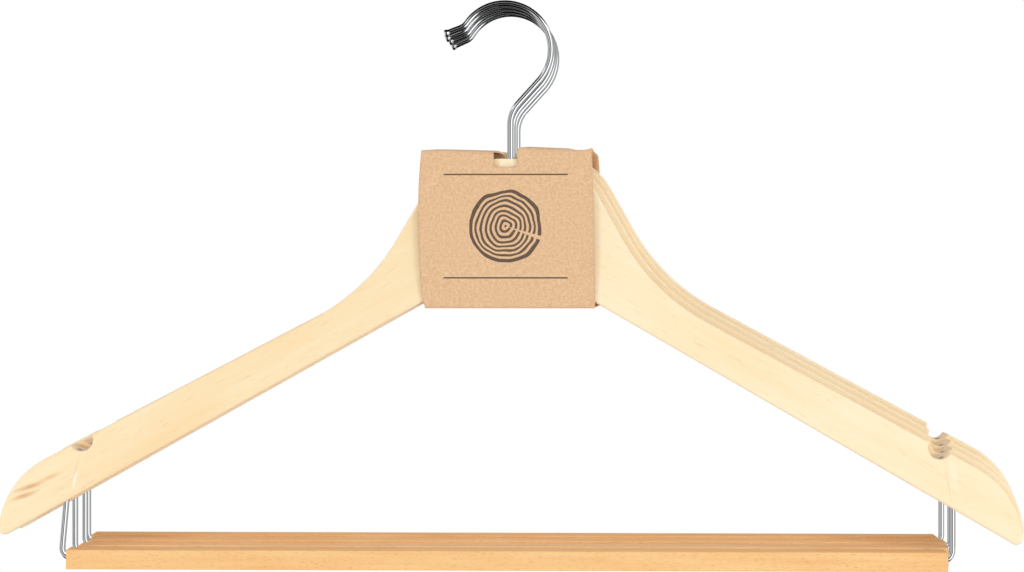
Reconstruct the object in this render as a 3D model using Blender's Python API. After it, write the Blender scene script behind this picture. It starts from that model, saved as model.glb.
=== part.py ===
"""Retail pack of four flat wooden trouser hangers, banded by one folded kraft paper sleeve.

Frame: metres, +Z up, +X towards the hangers' right arms as seen from the front, +Y to the back.
The origin is on the underside of the hooks' crowns, where a rail touches them, over the hanger's
middle and halfway through the pack.

Each hanger is two wooden arms joined by a finger joint, a swivelling wire hook that hangs on a
washer in a counterbore, and a square trouser bar on two bent wires. The four hangers were stacked
by hand, so each one behind the first sits a little to the side, higher and turned.
"""

import math

import bmesh
import bpy
from mathutils import Matrix, Vector

# The pack
HANGER_COUNT = 4
BOARD_THICKNESS = 0.012
TOUCH_GAP = 0.0003

# How each hanger sits in the stack, front to back
ARM_SHIFT = (0.0006, 0.0038, 0.0059, 0.0070)
ARM_LIFT = (-0.0008, 0.0004, 0.0027, 0.0040)
ARM_TURN_DEG = (-0.42, -0.36, -0.50, -0.33)
HOOK_SHIFT = (0.0004, 0.0012, 0.0020, 0.0030)
BAR_SHIFT = (-0.0019, 0.0008, 0.0024, 0.0009)
BAR_LIFT = (-0.0002, 0.0001, 0.0008, 0.0013)

# Wooden arms, drawn from the flat crown over the shoulder to the tip and back along the underside
HANGER_WIDTH = 0.447
CROWN_HALF_WIDTH = 0.0107
CROWN_RADIUS = 0.032
NECK_SLOPE_DEG = 60.3
NECK_RUN = 0.0215
HOLLOW_RADIUS = 0.0915
SHOULDER_SLOPE_DEG = 28.0
TIP_SLOPE_DEG = 85.0
TIP_RADIUS = 0.038
TIP_CORNER_RADIUS = 0.0028
UNDERSIDE_SLOPE_DEG = 29.6
UNDERSIDE_RADIUS = 0.045
EDGE_EASE = 0.0009

# Finger joint between the arms
FINGER_COUNT = 5
FINGER_LENGTH = 0.010

# Shoulder notch for garment loops, centred on the arm's top edge
NOTCH_FROM_TIP = 0.0363
NOTCH_RADIUS = 0.0051

# Swivel hook
HOOK_WIRE_RADIUS = 0.0014
HOOK_BOW_RADIUS = 0.0203
HOOK_BOW_OFFSET = -0.0025
HOOK_BOW_SWEEP_DEG = 187.0
HOOK_NECK_SLOPE_DEG = 42.0
HOOK_NECK_RADIUS = 0.014
HOOK_TIP_BEND_DEG = 34.0
HOOK_TIP_RADIUS = 0.006
HOOK_TIP_RUN = 0.0074
HOOK_TIP_SWELL = 1.22
HOOK_TIP_PROFILE = ((0.45, 0.97), (0.85, 1.0), (0.5, 0.85), (0.2, 0.5))
HOOK_HEAD_RADIUS = 0.0025
HOOK_HEAD_HEIGHT = 0.0016
HOOK_HEAD_CHAMFER = 0.0004
HOOK_HOLE_CLEARANCE = 0.0003
CROWN_DROP = 0.0663

# Counterbore and washer that carry the hook's head
WASHER_RADIUS = 0.0040
WASHER_THICKNESS = 0.0008
COUNTERBORE_CLEARANCE = 0.0004
COUNTERBORE_DEPTH = 0.0060

# Trouser bar
BAR_END_FROM_TIP = 0.03075
BAR_HEIGHT = 0.0086
BAR_DEPTH = 0.0098
BAR_EDGE_CHAMFER = 0.0007
BAR_DROP = 0.1805

# Bent wires between the arms and the bar
WIRE_RADIUS = 0.0013
WIRE_BEND_RADIUS = 0.0045
WIRE_BEND_TUCK = 0.0019
WIRE_IN_BAR = 0.0140
WIRE_KINK_RADIUS = 0.006
WIRE_KINK_DROP = 0.0030
WIRE_STANDS_PROUD = 0.0007
WIRE_ARM_CLEARANCE = 0.0003
WIRE_BAR_CLEARANCE = 0.00055

# Kraft paper sleeve
SLEEVE_WIDTH = 0.0749
SLEEVE_SHIFT = 0.0011
SLEEVE_SKEW = 0.0048
SLEEVE_FRONT_BOW = 0.0016
SLEEVE_FRONT_FACETS = 5
PAPER_THICKNESS = 0.00045
SLEEVE_CLEARANCE = 0.0004
SLEEVE_TOP_SLACK = 0.0012
SLEEVE_BOTTOM_SLACK = 0.0006
SLEEVE_TOP_SLOPE_DEG = 3.6
FOLD_RADIUS = 0.0016
LAP_LENGTH = 0.018
SLOT_WIDTH = 0.0102
SLOT_FRONT_DROP = 0.0070
SLOT_BACK_DROP = 0.0070
SLOT_SHIFT = -0.0012

# Facets
BEND_FACET_DEG = 10.0
HOLE_SIDES = 16
ROUND_SIDES = 20

NOTCH_REACH = HANGER_WIDTH / 2 - NOTCH_FROM_TIP
BAR_LENGTH = HANGER_WIDTH - 2 * BAR_END_FROM_TIP
PITCH = BOARD_THICKNESS + TOUCH_GAP
PACK_DEPTH = HANGER_COUNT * BOARD_THICKNESS + (HANGER_COUNT - 1) * TOUCH_GAP

WOOD = ((0.93, 0.79, 0.55), 0.45, 0.0)
BAR_WOOD = ((0.86, 0.56, 0.26), 0.50, 0.0)
CHROME = ((0.80, 0.80, 0.82), 0.12, 1.0)
STEEL = ((0.62, 0.62, 0.63), 0.35, 1.0)
KRAFT = ((0.64, 0.44, 0.25), 0.85, 0.0)


class Trace:
    """A pen that draws straight runs and round bends in one plane."""

    def __init__(self, start, heading_deg):
        self.points = [Vector(start)]
        self.heading = math.radians(heading_deg)

    @property
    def end(self):
        return self.points[-1]

    def run(self, length):
        """Draw a straight run ahead."""
        ahead = Vector((math.cos(self.heading), math.sin(self.heading)))
        self.points.append(self.end + ahead * length)
        return self

    def bend(self, degrees, radius, facets=0):
        """Draw a round bend, to the left where degrees is positive."""
        turn = math.radians(degrees)
        left = Vector((-math.sin(self.heading), math.cos(self.heading)))
        centre = self.end + left * math.copysign(radius, turn)
        spoke = self.end - centre
        steps = facets or max(1, round(abs(degrees) / BEND_FACET_DEG))
        for step in range(1, steps + 1):
            self.points.append(centre + Matrix.Rotation(turn * step / steps, 2) @ spoke)
        self.heading += turn
        return self


def hanger_depth(index):
    """The Y of a hanger's middle plane."""
    return -PACK_DEPTH / 2 + BOARD_THICKNESS / 2 + index * PITCH


def shoulder_start():
    """Where the straight shoulder begins, from the middle of the crown."""
    trace = Trace((CROWN_HALF_WIDTH, 0), 0)
    trace.bend(-NECK_SLOPE_DEG, CROWN_RADIUS).run(NECK_RUN)
    trace.bend(NECK_SLOPE_DEG - SHOULDER_SLOPE_DEG, HOLLOW_RADIUS)
    return trace.end


def shoulder_run():
    """Length of the straight shoulder that brings the tip to half the hanger's width."""
    shoulder = math.sin(math.radians(SHOULDER_SLOPE_DEG))
    tip = math.sin(math.radians(TIP_SLOPE_DEG))
    tip_reach = TIP_RADIUS * (tip - shoulder) + TIP_CORNER_RADIUS * (1 - tip)
    left = HANGER_WIDTH / 2 - tip_reach - shoulder_start().x
    return left / math.cos(math.radians(SHOULDER_SLOPE_DEG))


def outline_to_underside():
    """Top edge and tip of an arm, up to where its straight underside starts."""
    trace = Trace((CROWN_HALF_WIDTH, 0), 0)
    trace.bend(-NECK_SLOPE_DEG, CROWN_RADIUS).run(NECK_RUN)
    trace.bend(NECK_SLOPE_DEG - SHOULDER_SLOPE_DEG, HOLLOW_RADIUS).run(shoulder_run())
    trace.bend(SHOULDER_SLOPE_DEG - TIP_SLOPE_DEG, TIP_RADIUS)
    trace.bend(TIP_SLOPE_DEG - UNDERSIDE_SLOPE_DEG - 180, TIP_CORNER_RADIUS)
    return trace


def underside_height(reach):
    """Height of the arms' underside at a distance from the middle, from the crown's top."""
    slope = math.radians(UNDERSIDE_SLOPE_DEG)
    line_start = outline_to_underside().end
    round_start = UNDERSIDE_RADIUS * math.sin(slope)
    if reach >= round_start:
        return line_start.y + (line_start.x - reach) * math.tan(slope)
    tangent = line_start.y + (line_start.x - round_start) * math.tan(slope)
    centre = tangent - UNDERSIDE_RADIUS * math.cos(slope)
    return centre + math.sqrt(UNDERSIDE_RADIUS ** 2 - reach ** 2)


def notch_centre():
    """Middle of the shoulder notch, on the straight shoulder."""
    start = shoulder_start()
    drop = (NOTCH_REACH - start.x) * math.tan(math.radians(SHOULDER_SLOPE_DEG))
    return Vector((NOTCH_REACH, start.y - drop))


def arm_outline(first_finger):
    """Outline of one arm in its own plane, x outwards, z up, with its half of the finger joint.

    The fingers take every other cell of the joint, starting with cell first_finger.
    """
    root = (FINGER_LENGTH + TOUCH_GAP) / 2
    fingertip = TOUCH_GAP / 2 - FINGER_LENGTH / 2
    cell = -underside_height(0) / FINGER_COUNT

    def reach(index):
        return fingertip if index % 2 == first_finger else root

    trace = outline_to_underside()
    last_reach = reach(FINGER_COUNT - 1)
    slope = math.radians(UNDERSIDE_SLOPE_DEG)
    round_start = UNDERSIDE_RADIUS * math.sin(slope)
    trace.run((trace.end.x - round_start) / math.cos(slope))
    stop = math.asin(last_reach / UNDERSIDE_RADIUS)
    trace.bend(math.degrees(slope - stop), UNDERSIDE_RADIUS)
    points = list(trace.points)
    for index in range(FINGER_COUNT - 1, 0, -1):
        inset = -TOUCH_GAP / 2 if index % 2 == first_finger else TOUCH_GAP / 2
        height = -index * cell + inset
        points.append(Vector((reach(index), height)))
        points.append(Vector((reach(index - 1), height)))
    points.append(Vector((reach(0), 0)))
    return points


def add_object(name, data, finish):
    """Put a named sub-part into the scene with a material of its own."""
    colour, roughness, metallic = finish
    material = bpy.data.materials.new(name + "_finish")
    material.use_nodes = True
    shader = material.node_tree.nodes["Principled BSDF"]
    shader.inputs["Base Color"].default_value = (*colour, 1)
    shader.inputs["Roughness"].default_value = roughness
    shader.inputs["Metallic"].default_value = metallic
    data.materials.append(material)
    part = bpy.data.objects.new(name, data)
    bpy.context.collection.objects.link(part)
    return part


def slab_mesh(name, outline, thickness):
    """Mesh of a flat outline in X and Z, extruded through the middle of its thickness along Y."""
    mesh = bpy.data.meshes.new(name)
    work = bmesh.new()
    front = [work.verts.new((point.x, -thickness / 2, point.y)) for point in outline]
    face = work.faces.new(front)
    grown = bmesh.ops.extrude_face_region(work, geom=[face])
    moved = [item for item in grown["geom"] if isinstance(item, bmesh.types.BMVert)]
    bmesh.ops.translate(work, verts=moved, vec=(0, thickness, 0))
    bmesh.ops.recalc_face_normals(work, faces=work.faces)
    work.to_mesh(mesh)
    work.free()
    return mesh


def ease_edges(part, width, outer_reach):
    """Bevel the long edges of a board outside its finger joint."""
    mesh = part.data
    weights = mesh.attributes.new("bevel_weight_edge", "FLOAT", "EDGE")
    for edge in mesh.edges:
        start, end = (mesh.vertices[corner].co for corner in edge.vertices)
        along_face = abs(start.y - end.y) < TOUCH_GAP
        outside = min(abs(start.x), abs(end.x)) > outer_reach
        weights.data[edge.index].value = 1.0 if along_face and outside else 0.0
    bevel = part.modifiers.new("eased_edges", "BEVEL")
    bevel.limit_method = "WEIGHT"
    bevel.width = width
    bevel.segments = 1


def cylinder_mesh(name, start, end, radius, sides):
    """Mesh of a closed cylinder between two points."""
    axis = Vector(end) - Vector(start)
    place = Matrix.Translation((Vector(start) + Vector(end)) / 2)
    place = place @ axis.to_track_quat("Z", "Y").to_matrix().to_4x4()
    mesh = bpy.data.meshes.new(name)
    work = bmesh.new()
    bmesh.ops.create_cone(work, cap_ends=True, segments=sides, radius1=radius, radius2=radius,
                          depth=axis.length, matrix=place)
    work.to_mesh(mesh)
    work.free()
    return mesh


def cut(parts, name, start, end, radius, sides=HOLE_SIDES):
    """Drill the parts with a round cutter between two points."""
    cutter = bpy.data.objects.new(name, cylinder_mesh(name, start, end, radius, sides))
    bpy.context.collection.objects.link(cutter)
    cut_with(parts, cutter)


def cut_with(parts, cutter):
    """Take a cutter's shape out of each of the parts."""
    cutter.hide_render = True
    cutter.display_type = "WIRE"
    for part in parts:
        boolean = part.modifiers.new(cutter.name, "BOOLEAN")
        boolean.operation = "DIFFERENCE"
        boolean.solver = "EXACT"
        boolean.object = cutter


def bent_wire(name, points, radius, swell, finish, location=(0, 0, 0)):
    """A round wire along points in X and Z; swell scales its radius at each point."""
    curve = bpy.data.curves.new(name, "CURVE")
    curve.dimensions = "3D"
    curve.fill_mode = "FULL"
    curve.bevel_depth = radius
    curve.bevel_resolution = 4
    curve.use_fill_caps = True
    spline = curve.splines.new("POLY")
    spline.points.add(len(points) - 1)
    for spot, point, scale in zip(spline.points, points, swell):
        spot.co = (point.x, 0, point.y, 1)
        spot.radius = scale
    wire = add_object(name, curve, finish)
    wire.location = location
    return wire


def arm_place(index):
    """World matrix of a hanger's wooden body, whose own origin is the middle of its crown."""
    place = Matrix.Translation((ARM_SHIFT[index], hanger_depth(index), ARM_LIFT[index] - CROWN_DROP))
    return place @ Matrix.Rotation(-math.radians(ARM_TURN_DEG[index]), 4, "Y")


def on_arm(index, side, point):
    """World X and Z of a point drawn on an arm, where side is 1 for right and -1 for left."""
    world = arm_place(index) @ Vector((side * point.x, 0, point.y))
    return Vector((world.x, world.z))


def build_arms(index):
    """Both wooden arms of one hanger, interlocked at the middle."""
    arms = {}
    for label, side, first_finger in (("left", -1, 1), ("right", 1, 0)):
        outline = [Vector((side * point.x, point.y)) for point in arm_outline(first_finger)]
        name = f"arm_{label}_{index + 1}"
        arm = add_object(name, slab_mesh(name, outline, BOARD_THICKNESS), WOOD)
        arm.matrix_world = arm_place(index)
        ease_edges(arm, EDGE_EASE, FINGER_LENGTH)
        notch = on_arm(index, side, notch_centre())
        reach = Vector((0, BOARD_THICKNESS, 0))
        middle = Vector((notch.x, hanger_depth(index), notch.y))
        cut([arm], f"notch_cutter_{label}_{index + 1}", middle - reach, middle + reach,
            NOTCH_RADIUS, ROUND_SIDES)
        arms[side] = arm
    return arms


def seat_height(index):
    """Height of the counterbore's floor, where the hook's washer bears."""
    return ARM_LIFT[index] - CROWN_DROP + underside_height(0) + COUNTERBORE_DEPTH


def build_hook(index, arms):
    """The swivel hook with its washer, and the bores for them in both arms."""
    spot = Vector((HOOK_SHIFT[index], hanger_depth(index), 0))
    seat = seat_height(index)
    washer_top = seat - TOUCH_GAP
    head_top = washer_top - WASHER_THICKNESS - TOUCH_GAP
    halves = list(arms.values())

    cut(halves, f"shank_cutter_{index + 1}", spot + Vector((0, 0, seat - COUNTERBORE_DEPTH)),
        spot, HOOK_WIRE_RADIUS + HOOK_HOLE_CLEARANCE)
    cut(halves, f"counterbore_cutter_{index + 1}",
        spot + Vector((0, 0, seat - 2 * COUNTERBORE_DEPTH)), spot + Vector((0, 0, seat)),
        WASHER_RADIUS + COUNTERBORE_CLEARANCE, ROUND_SIDES)

    name = f"hook_washer_{index + 1}"
    washer = add_object(name, cylinder_mesh(name, (0, 0, -WASHER_THICKNESS), (0, 0, 0),
                                            WASHER_RADIUS, ROUND_SIDES), STEEL)
    washer.location = spot + Vector((0, 0, washer_top))
    bore_half = Vector((0, 0, 2 * WASHER_THICKNESS))
    cut([washer], f"washer_cutter_{index + 1}", washer.location - bore_half,
        washer.location + bore_half, HOOK_WIRE_RADIUS + HOOK_HOLE_CLEARANCE)

    points, swell = hook_path(head_top)
    bent_wire(f"hook_{index + 1}", points, HOOK_WIRE_RADIUS, swell, CHROME, spot)


def hook_path(head_top):
    """Centre line and radius scale of a hook, from its upset head up to its swollen tip.

    The rail touches the bow's inner side at height 0, over the bow's middle.
    """
    neck = math.radians(HOOK_NECK_SLOPE_DEG)
    bow_side = HOOK_BOW_OFFSET + HOOK_BOW_RADIUS * math.cos(neck)
    neck_bend = HOOK_NECK_RADIUS * (1 - math.cos(neck))
    slant = (bow_side - neck_bend) / math.sin(neck)
    bow_centre = HOOK_WIRE_RADIUS - HOOK_BOW_RADIUS
    bow_start = bow_centre - HOOK_BOW_RADIUS * math.sin(neck)
    neck_start = bow_start - slant * math.cos(neck) - HOOK_NECK_RADIUS * math.sin(neck)

    head = HOOK_HEAD_RADIUS / HOOK_WIRE_RADIUS
    head_foot = (HOOK_HEAD_RADIUS - HOOK_HEAD_CHAMFER) / HOOK_WIRE_RADIUS
    trace = Trace((0, head_top - HOOK_HEAD_HEIGHT), 90)
    trace.run(HOOK_HEAD_CHAMFER).run(HOOK_HEAD_HEIGHT - HOOK_HEAD_CHAMFER).run(TOUCH_GAP / 4)
    swell = [head_foot, head, head, 1.0]
    trace.run(neck_start - trace.end.y)
    trace.bend(-HOOK_NECK_SLOPE_DEG, HOOK_NECK_RADIUS).run(slant)
    trace.bend(HOOK_BOW_SWEEP_DEG, HOOK_BOW_RADIUS)
    trace.bend(-HOOK_TIP_BEND_DEG, HOOK_TIP_RADIUS)
    tip = HOOK_WIRE_RADIUS * HOOK_TIP_SWELL
    trace.run(HOOK_TIP_RUN - 2 * tip)
    swell += [1.0] * (len(trace.points) - len(swell))
    for share, scale in HOOK_TIP_PROFILE:
        trace.run(share * tip)
        swell.append(scale * HOOK_TIP_SWELL)
    return trace.points, swell


def bar_ends(index):
    """World X of a bar's left and right ends, and its middle height."""
    middle = BAR_LIFT[index] - CROWN_DROP - BAR_DROP + BAR_HEIGHT / 2
    return {-1: BAR_SHIFT[index] - BAR_LENGTH / 2, 1: BAR_SHIFT[index] + BAR_LENGTH / 2}, middle


def build_bar(index):
    """The trouser bar with a drilled hole in each end."""
    ends, middle = bar_ends(index)
    half = Vector((BAR_LENGTH / 2, BAR_HEIGHT / 2))
    corners = ((-1, -1), (1, -1), (1, 1), (-1, 1))
    outline = [Vector((x * half.x, z * half.y)) for x, z in corners]
    name = f"bar_{index + 1}"
    bar = add_object(name, slab_mesh(name, outline, BAR_DEPTH), BAR_WOOD)
    bar.location = (BAR_SHIFT[index], hanger_depth(index), middle)
    bevel = bar.modifiers.new("chamfers", "BEVEL")
    bevel.width = BAR_EDGE_CHAMFER
    bevel.segments = 1
    for label, side in (("left", -1), ("right", 1)):
        mouth = Vector((ends[side], hanger_depth(index), middle))
        inward = Vector((-side * (WIRE_IN_BAR + TOUCH_GAP), 0, 0))
        cut([bar], f"bar_cutter_{label}_{index + 1}", mouth - inward, mouth + inward,
            WIRE_RADIUS + WIRE_BAR_CLEARANCE)


def wire_line(index, side):
    """Where a bent wire runs: its upright's X, its kink under the arm and the notch's middle."""
    ends, _ = bar_ends(index)
    upright = ends[side] + side * (WIRE_BEND_RADIUS - WIRE_BEND_TUCK)
    reach = side * (upright - ARM_SHIFT[index])
    underside = on_arm(index, side, Vector((reach, underside_height(reach))))
    kink = Vector((upright, underside.y - WIRE_KINK_DROP))
    notch = on_arm(index, side, notch_centre())
    return kink, notch


def build_wire(index, side, label, arm):
    """A bent wire from inside the bar's end, up through the arm to the notch's floor."""
    ends, middle = bar_ends(index)
    kink, notch = wire_line(index, side)
    lean = math.atan2(side * (kink.x - notch.x), notch.y - kink.y)
    kink_length = WIRE_KINK_RADIUS * math.tan(abs(lean) / 2)

    inner_end = side * ends[side] - WIRE_IN_BAR
    bend_start = side * kink.x - WIRE_BEND_RADIUS
    trace = Trace((inner_end, middle), 0)
    trace.run(bend_start - inner_end)
    trace.bend(90, WIRE_BEND_RADIUS)
    trace.run(kink.y - kink_length - trace.end.y)
    trace.bend(math.degrees(lean), WIRE_KINK_RADIUS)
    floor_gap = NOTCH_RADIUS - WIRE_STANDS_PROUD
    trace.run((notch - kink).length - kink_length - floor_gap)
    points = [Vector((side * point.x, point.y)) for point in trace.points]
    swell = [1.0] * len(points)
    name = f"wire_{label}_{index + 1}"
    bent_wire(name, points, WIRE_RADIUS, swell, CHROME, (0, hanger_depth(index), 0))

    along = (notch - kink).normalized()
    mouth = kink + along * kink_length
    start = Vector((mouth.x, hanger_depth(index), mouth.y))
    end = Vector((notch.x, hanger_depth(index), notch.y))
    cut([arm], f"wire_cutter_{label}_{index + 1}", start, end, WIRE_RADIUS + WIRE_ARM_CLEARANCE)


def sleeve_inside():
    """Inner depth of the sleeve, its top over the front panel, and its bottom.

    The top panel rises to the back, because the hangers at the back sit higher.
    """
    depth = PACK_DEPTH + 2 * SLEEVE_CLEARANCE
    rise = math.tan(math.radians(SLEEVE_TOP_SLOPE_DEG))
    reach = SLEEVE_WIDTH / 2 + abs(SLEEVE_SHIFT)
    tops = []
    bottoms = []
    for index in range(HANGER_COUNT):
        front_face = hanger_depth(index) - BOARD_THICKNESS / 2
        for side in (-1, 1):
            crown = on_arm(index, side, Vector((CROWN_HALF_WIDTH, 0))).y
            tops.append(crown - rise * (front_face + depth / 2))
            arm_reach = reach - side * ARM_SHIFT[index]
            edge = Vector((arm_reach, underside_height(arm_reach)))
            bottoms.append(on_arm(index, side, edge).y)
    top = max(tops) + SLEEVE_CLEARANCE + SLEEVE_TOP_SLACK
    bottom = min(bottoms) - SLEEVE_CLEARANCE - SLEEVE_BOTTOM_SLACK
    return depth, top, bottom


def sleeve_skew(y, depth):
    """How far to the right the sleeve has slipped at a depth, against the middle of the pack."""
    return SLEEVE_SKEW * y / depth


def sleeve_section():
    """The folded strip in Y and Z, from the glued lap under the back panel round to its end.

    The front panel bows out between its folds.
    """
    depth, top, bottom = sleeve_inside()
    rise = math.radians(SLEEVE_TOP_SLOPE_DEG)
    lap_step = PAPER_THICKNESS + TOUCH_GAP
    middle = (top + bottom) / 2
    front_tuck = FOLD_RADIUS * math.tan((math.pi / 2 - rise) / 2)
    back_tuck = FOLD_RADIUS * math.tan((math.pi / 2 + rise) / 2)
    trace = Trace((depth / 2, middle + LAP_LENGTH / 2), -90)
    trace.run(trace.end.y - bottom - FOLD_RADIUS)
    trace.bend(-90, FOLD_RADIUS).run(depth - 2 * FOLD_RADIUS)

    chord = top - front_tuck - bottom - FOLD_RADIUS
    lean = 2 * math.atan(2 * SLEEVE_FRONT_BOW / chord)
    lean_deg = math.degrees(lean)
    trace.bend(lean_deg - 90, FOLD_RADIUS)
    trace.bend(-2 * lean_deg, chord / (2 * math.sin(lean)), SLEEVE_FRONT_FACETS)
    trace.bend(SLEEVE_TOP_SLOPE_DEG + lean_deg - 90, FOLD_RADIUS)

    trace.run((depth / 2 + lap_step - trace.end.x) / math.cos(rise) - back_tuck)
    trace.bend(-SLEEVE_TOP_SLOPE_DEG - 90, FOLD_RADIUS)
    trace.run(trace.end.y - middle + LAP_LENGTH / 2)
    return trace.points


def build_sleeve():
    """The folded paper band: front, top and bottom panels, and a back panel with a glued lap."""
    depth, top, _ = sleeve_inside()
    mesh = bpy.data.meshes.new("paper_sleeve")
    work = bmesh.new()
    left = -SLEEVE_WIDTH / 2
    strip = [work.verts.new((left + sleeve_skew(point.x, depth), point.x, point.y))
             for point in sleeve_section()]
    edges = [work.edges.new(pair) for pair in zip(strip, strip[1:])]
    grown = bmesh.ops.extrude_edge_only(work, edges=edges)
    moved = [item for item in grown["geom"] if isinstance(item, bmesh.types.BMVert)]
    bmesh.ops.translate(work, verts=moved, vec=(SLEEVE_WIDTH, 0, 0))
    bmesh.ops.recalc_face_normals(work, faces=work.faces)
    work.to_mesh(mesh)
    work.free()
    sleeve = add_object("paper_sleeve", mesh, KRAFT)
    sleeve.location = (SLEEVE_SHIFT, 0, 0)
    paper = sleeve.modifiers.new("paper", "SOLIDIFY")
    paper.thickness = PAPER_THICKNESS
    paper.offset = sleeve_outward(mesh)
    cut_sleeve_slot(sleeve, depth, top)


def sleeve_outward(mesh):
    """Solidify offset that grows the paper away from the hangers."""
    front = min(mesh.polygons, key=lambda face: face.center.y)
    return 1.0 if front.normal.y < 0 else -1.0


def cut_sleeve_slot(sleeve, depth, top):
    """Cut the slot that lets the hooks through the top fold of the sleeve."""
    margin = 2 * PAPER_THICKNESS + 2 * TOUCH_GAP
    inside = depth / 2 - TOUCH_GAP
    reach = depth / 2 + margin
    front = reach + SLEEVE_FRONT_BOW
    back_top = top + depth * math.tan(math.radians(SLEEVE_TOP_SLOPE_DEG))
    profile = (
        (-front, top + margin),
        (-front, top - SLOT_FRONT_DROP),
        (-inside, top - SLOT_FRONT_DROP),
        (-inside, top - FOLD_RADIUS),
        (inside, back_top - FOLD_RADIUS),
        (inside, back_top - SLOT_BACK_DROP),
        (reach, back_top - SLOT_BACK_DROP),
        (reach, back_top + margin),
    )
    mesh = bpy.data.meshes.new("slot_cutter")
    work = bmesh.new()
    left = -SLOT_WIDTH / 2
    ring = [work.verts.new((left + sleeve_skew(y, depth), y, z)) for y, z in profile]
    face = work.faces.new(ring)
    grown = bmesh.ops.extrude_face_region(work, geom=[face])
    moved = [item for item in grown["geom"] if isinstance(item, bmesh.types.BMVert)]
    bmesh.ops.translate(work, verts=moved, vec=(SLOT_WIDTH, 0, 0))
    bmesh.ops.recalc_face_normals(work, faces=work.faces)
    work.to_mesh(mesh)
    work.free()
    cutter = bpy.data.objects.new("slot_cutter", mesh)
    bpy.context.collection.objects.link(cutter)
    cutter.location = (SLOT_SHIFT + sum(HOOK_SHIFT) / HANGER_COUNT, 0, 0)
    cut_with([sleeve], cutter)


def build_hanger(index):
    """One complete hanger."""
    arms = build_arms(index)
    build_hook(index, arms)
    build_bar(index)
    for label, side in (("left", -1), ("right", 1)):
        build_wire(index, side, label, arms[side])


def main():
    """Build the pack."""
    for old in list(bpy.data.objects):
        bpy.data.objects.remove(old)
    for index in range(HANGER_COUNT):
        build_hanger(index)
    build_sleeve()


if __name__ == "__main__":
    main()
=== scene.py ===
"""Dressed model of a shelf pack of four flat wooden trouser hangers in a folded kraft band.

Every hanger has two satin-lacquered beech boards joined by fingers, a chromed swivel hook, two chromed
wires and a hardwood trouser bar. The pack hangs, so the floor lies well below it and nothing touches it.
Lengths are metres, +Z is up, +X runs to the hangers' right arms and +Y to the back of the pack.
"""

import logging
import math
from dataclasses import dataclass
from enum import Enum
from typing import Any, Sequence

import bpy
import numpy as np
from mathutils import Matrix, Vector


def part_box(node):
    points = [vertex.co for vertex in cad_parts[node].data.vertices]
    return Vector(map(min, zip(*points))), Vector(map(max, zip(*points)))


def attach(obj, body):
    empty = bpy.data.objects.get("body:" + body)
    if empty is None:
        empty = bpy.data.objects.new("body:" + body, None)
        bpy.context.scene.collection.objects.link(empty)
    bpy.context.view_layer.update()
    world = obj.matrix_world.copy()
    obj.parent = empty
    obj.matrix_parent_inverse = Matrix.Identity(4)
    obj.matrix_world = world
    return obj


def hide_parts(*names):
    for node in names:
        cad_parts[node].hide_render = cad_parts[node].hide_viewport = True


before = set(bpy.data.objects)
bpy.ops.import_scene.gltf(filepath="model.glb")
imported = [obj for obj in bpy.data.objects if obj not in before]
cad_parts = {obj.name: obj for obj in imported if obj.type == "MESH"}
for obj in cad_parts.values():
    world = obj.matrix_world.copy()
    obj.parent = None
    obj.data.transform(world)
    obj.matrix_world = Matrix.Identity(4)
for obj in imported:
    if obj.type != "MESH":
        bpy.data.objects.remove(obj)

LOG = logging.getLogger("hanger_pack")
IMAGE_SIZE = (1024, 572)
# Pieces that touch in the real pack lie this far apart.
TOUCH_GAP = 0.0003
WHITE = (1.0, 1.0, 1.0, 1.0)

Tree = bpy.types.NodeTree
Socket = bpy.types.NodeSocket
Piece = bpy.types.Object


class Side(Enum):
    """One of the two arms of a hanger."""

    LEFT = -1
    RIGHT = 1

    @property
    def label(self) -> str:
        """The side's word in a piece's name."""
        return self.name.lower()


# Small tools: colours, nodes and meshes


def linear(hex_colour: str) -> tuple[float, float, float, float]:
    """Turn an sRGB hex colour into the linear colour that a shader takes.

    Args:
        hex_colour: six hex digits after a hash sign.

    Returns:
        Linear red, green and blue, and a full alpha.
    """
    parts = np.array([int(hex_colour[k:k + 2], 16) for k in (1, 3, 5)]) / 255.0
    red, green, blue = np.where(parts <= 0.04045, parts / 12.92, ((parts + 0.055) / 1.055) ** 2.4)
    return float(red), float(green), float(blue), 1.0


def feed(tree: Tree, node: bpy.types.Node, inputs: dict[Any, Any]) -> None:
    """Set the inputs of a node.

    Args:
        tree: the node tree.
        node: the node.
        inputs: for each socket, by name or number, its value, the output that feeds it, or the node whose
            first output does.
    """
    for key, value in inputs.items():
        source = value.outputs[0] if isinstance(value, bpy.types.Node) else value
        if isinstance(source, Socket):
            tree.links.new(source, node.inputs[key])
        else:
            node.inputs[key].default_value = source


def add_node(tree: Tree, kind: str, inputs: dict[Any, Any] | None = None, **settings: Any) -> bpy.types.Node:
    """Add a shader node to a tree.

    Args:
        tree: the node tree.
        kind: the node's type name, without the word ShaderNode.
        inputs: what feeds its sockets.
        settings: the node's own properties.

    Returns:
        The new node.
    """
    node = tree.nodes.new(f"ShaderNode{kind}")
    for name, value in settings.items():
        setattr(node, name, value)
    feed(tree, node, inputs or {})
    return node


def stretched_noise(tree: Tree, place: Any, scale: tuple[float, float, float], detail: float,
                    roughness: float) -> bpy.types.Node:
    """Make a noise that is drawn out along one or two axes.

    Args:
        tree: the material's nodes.
        place: the coordinates.
        scale: the pattern's scale along each axis.
        detail: the noise's octaves.
        roughness: how much the finer octaves count.

    Returns:
        The noise.
    """
    scaled = add_node(tree, "VectorMath", {0: place, 1: scale}, operation="MULTIPLY")
    return add_node(tree, "TexNoise",
                    {"Vector": scaled, "Scale": 1.0, "Detail": detail, "Roughness": roughness})


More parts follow.
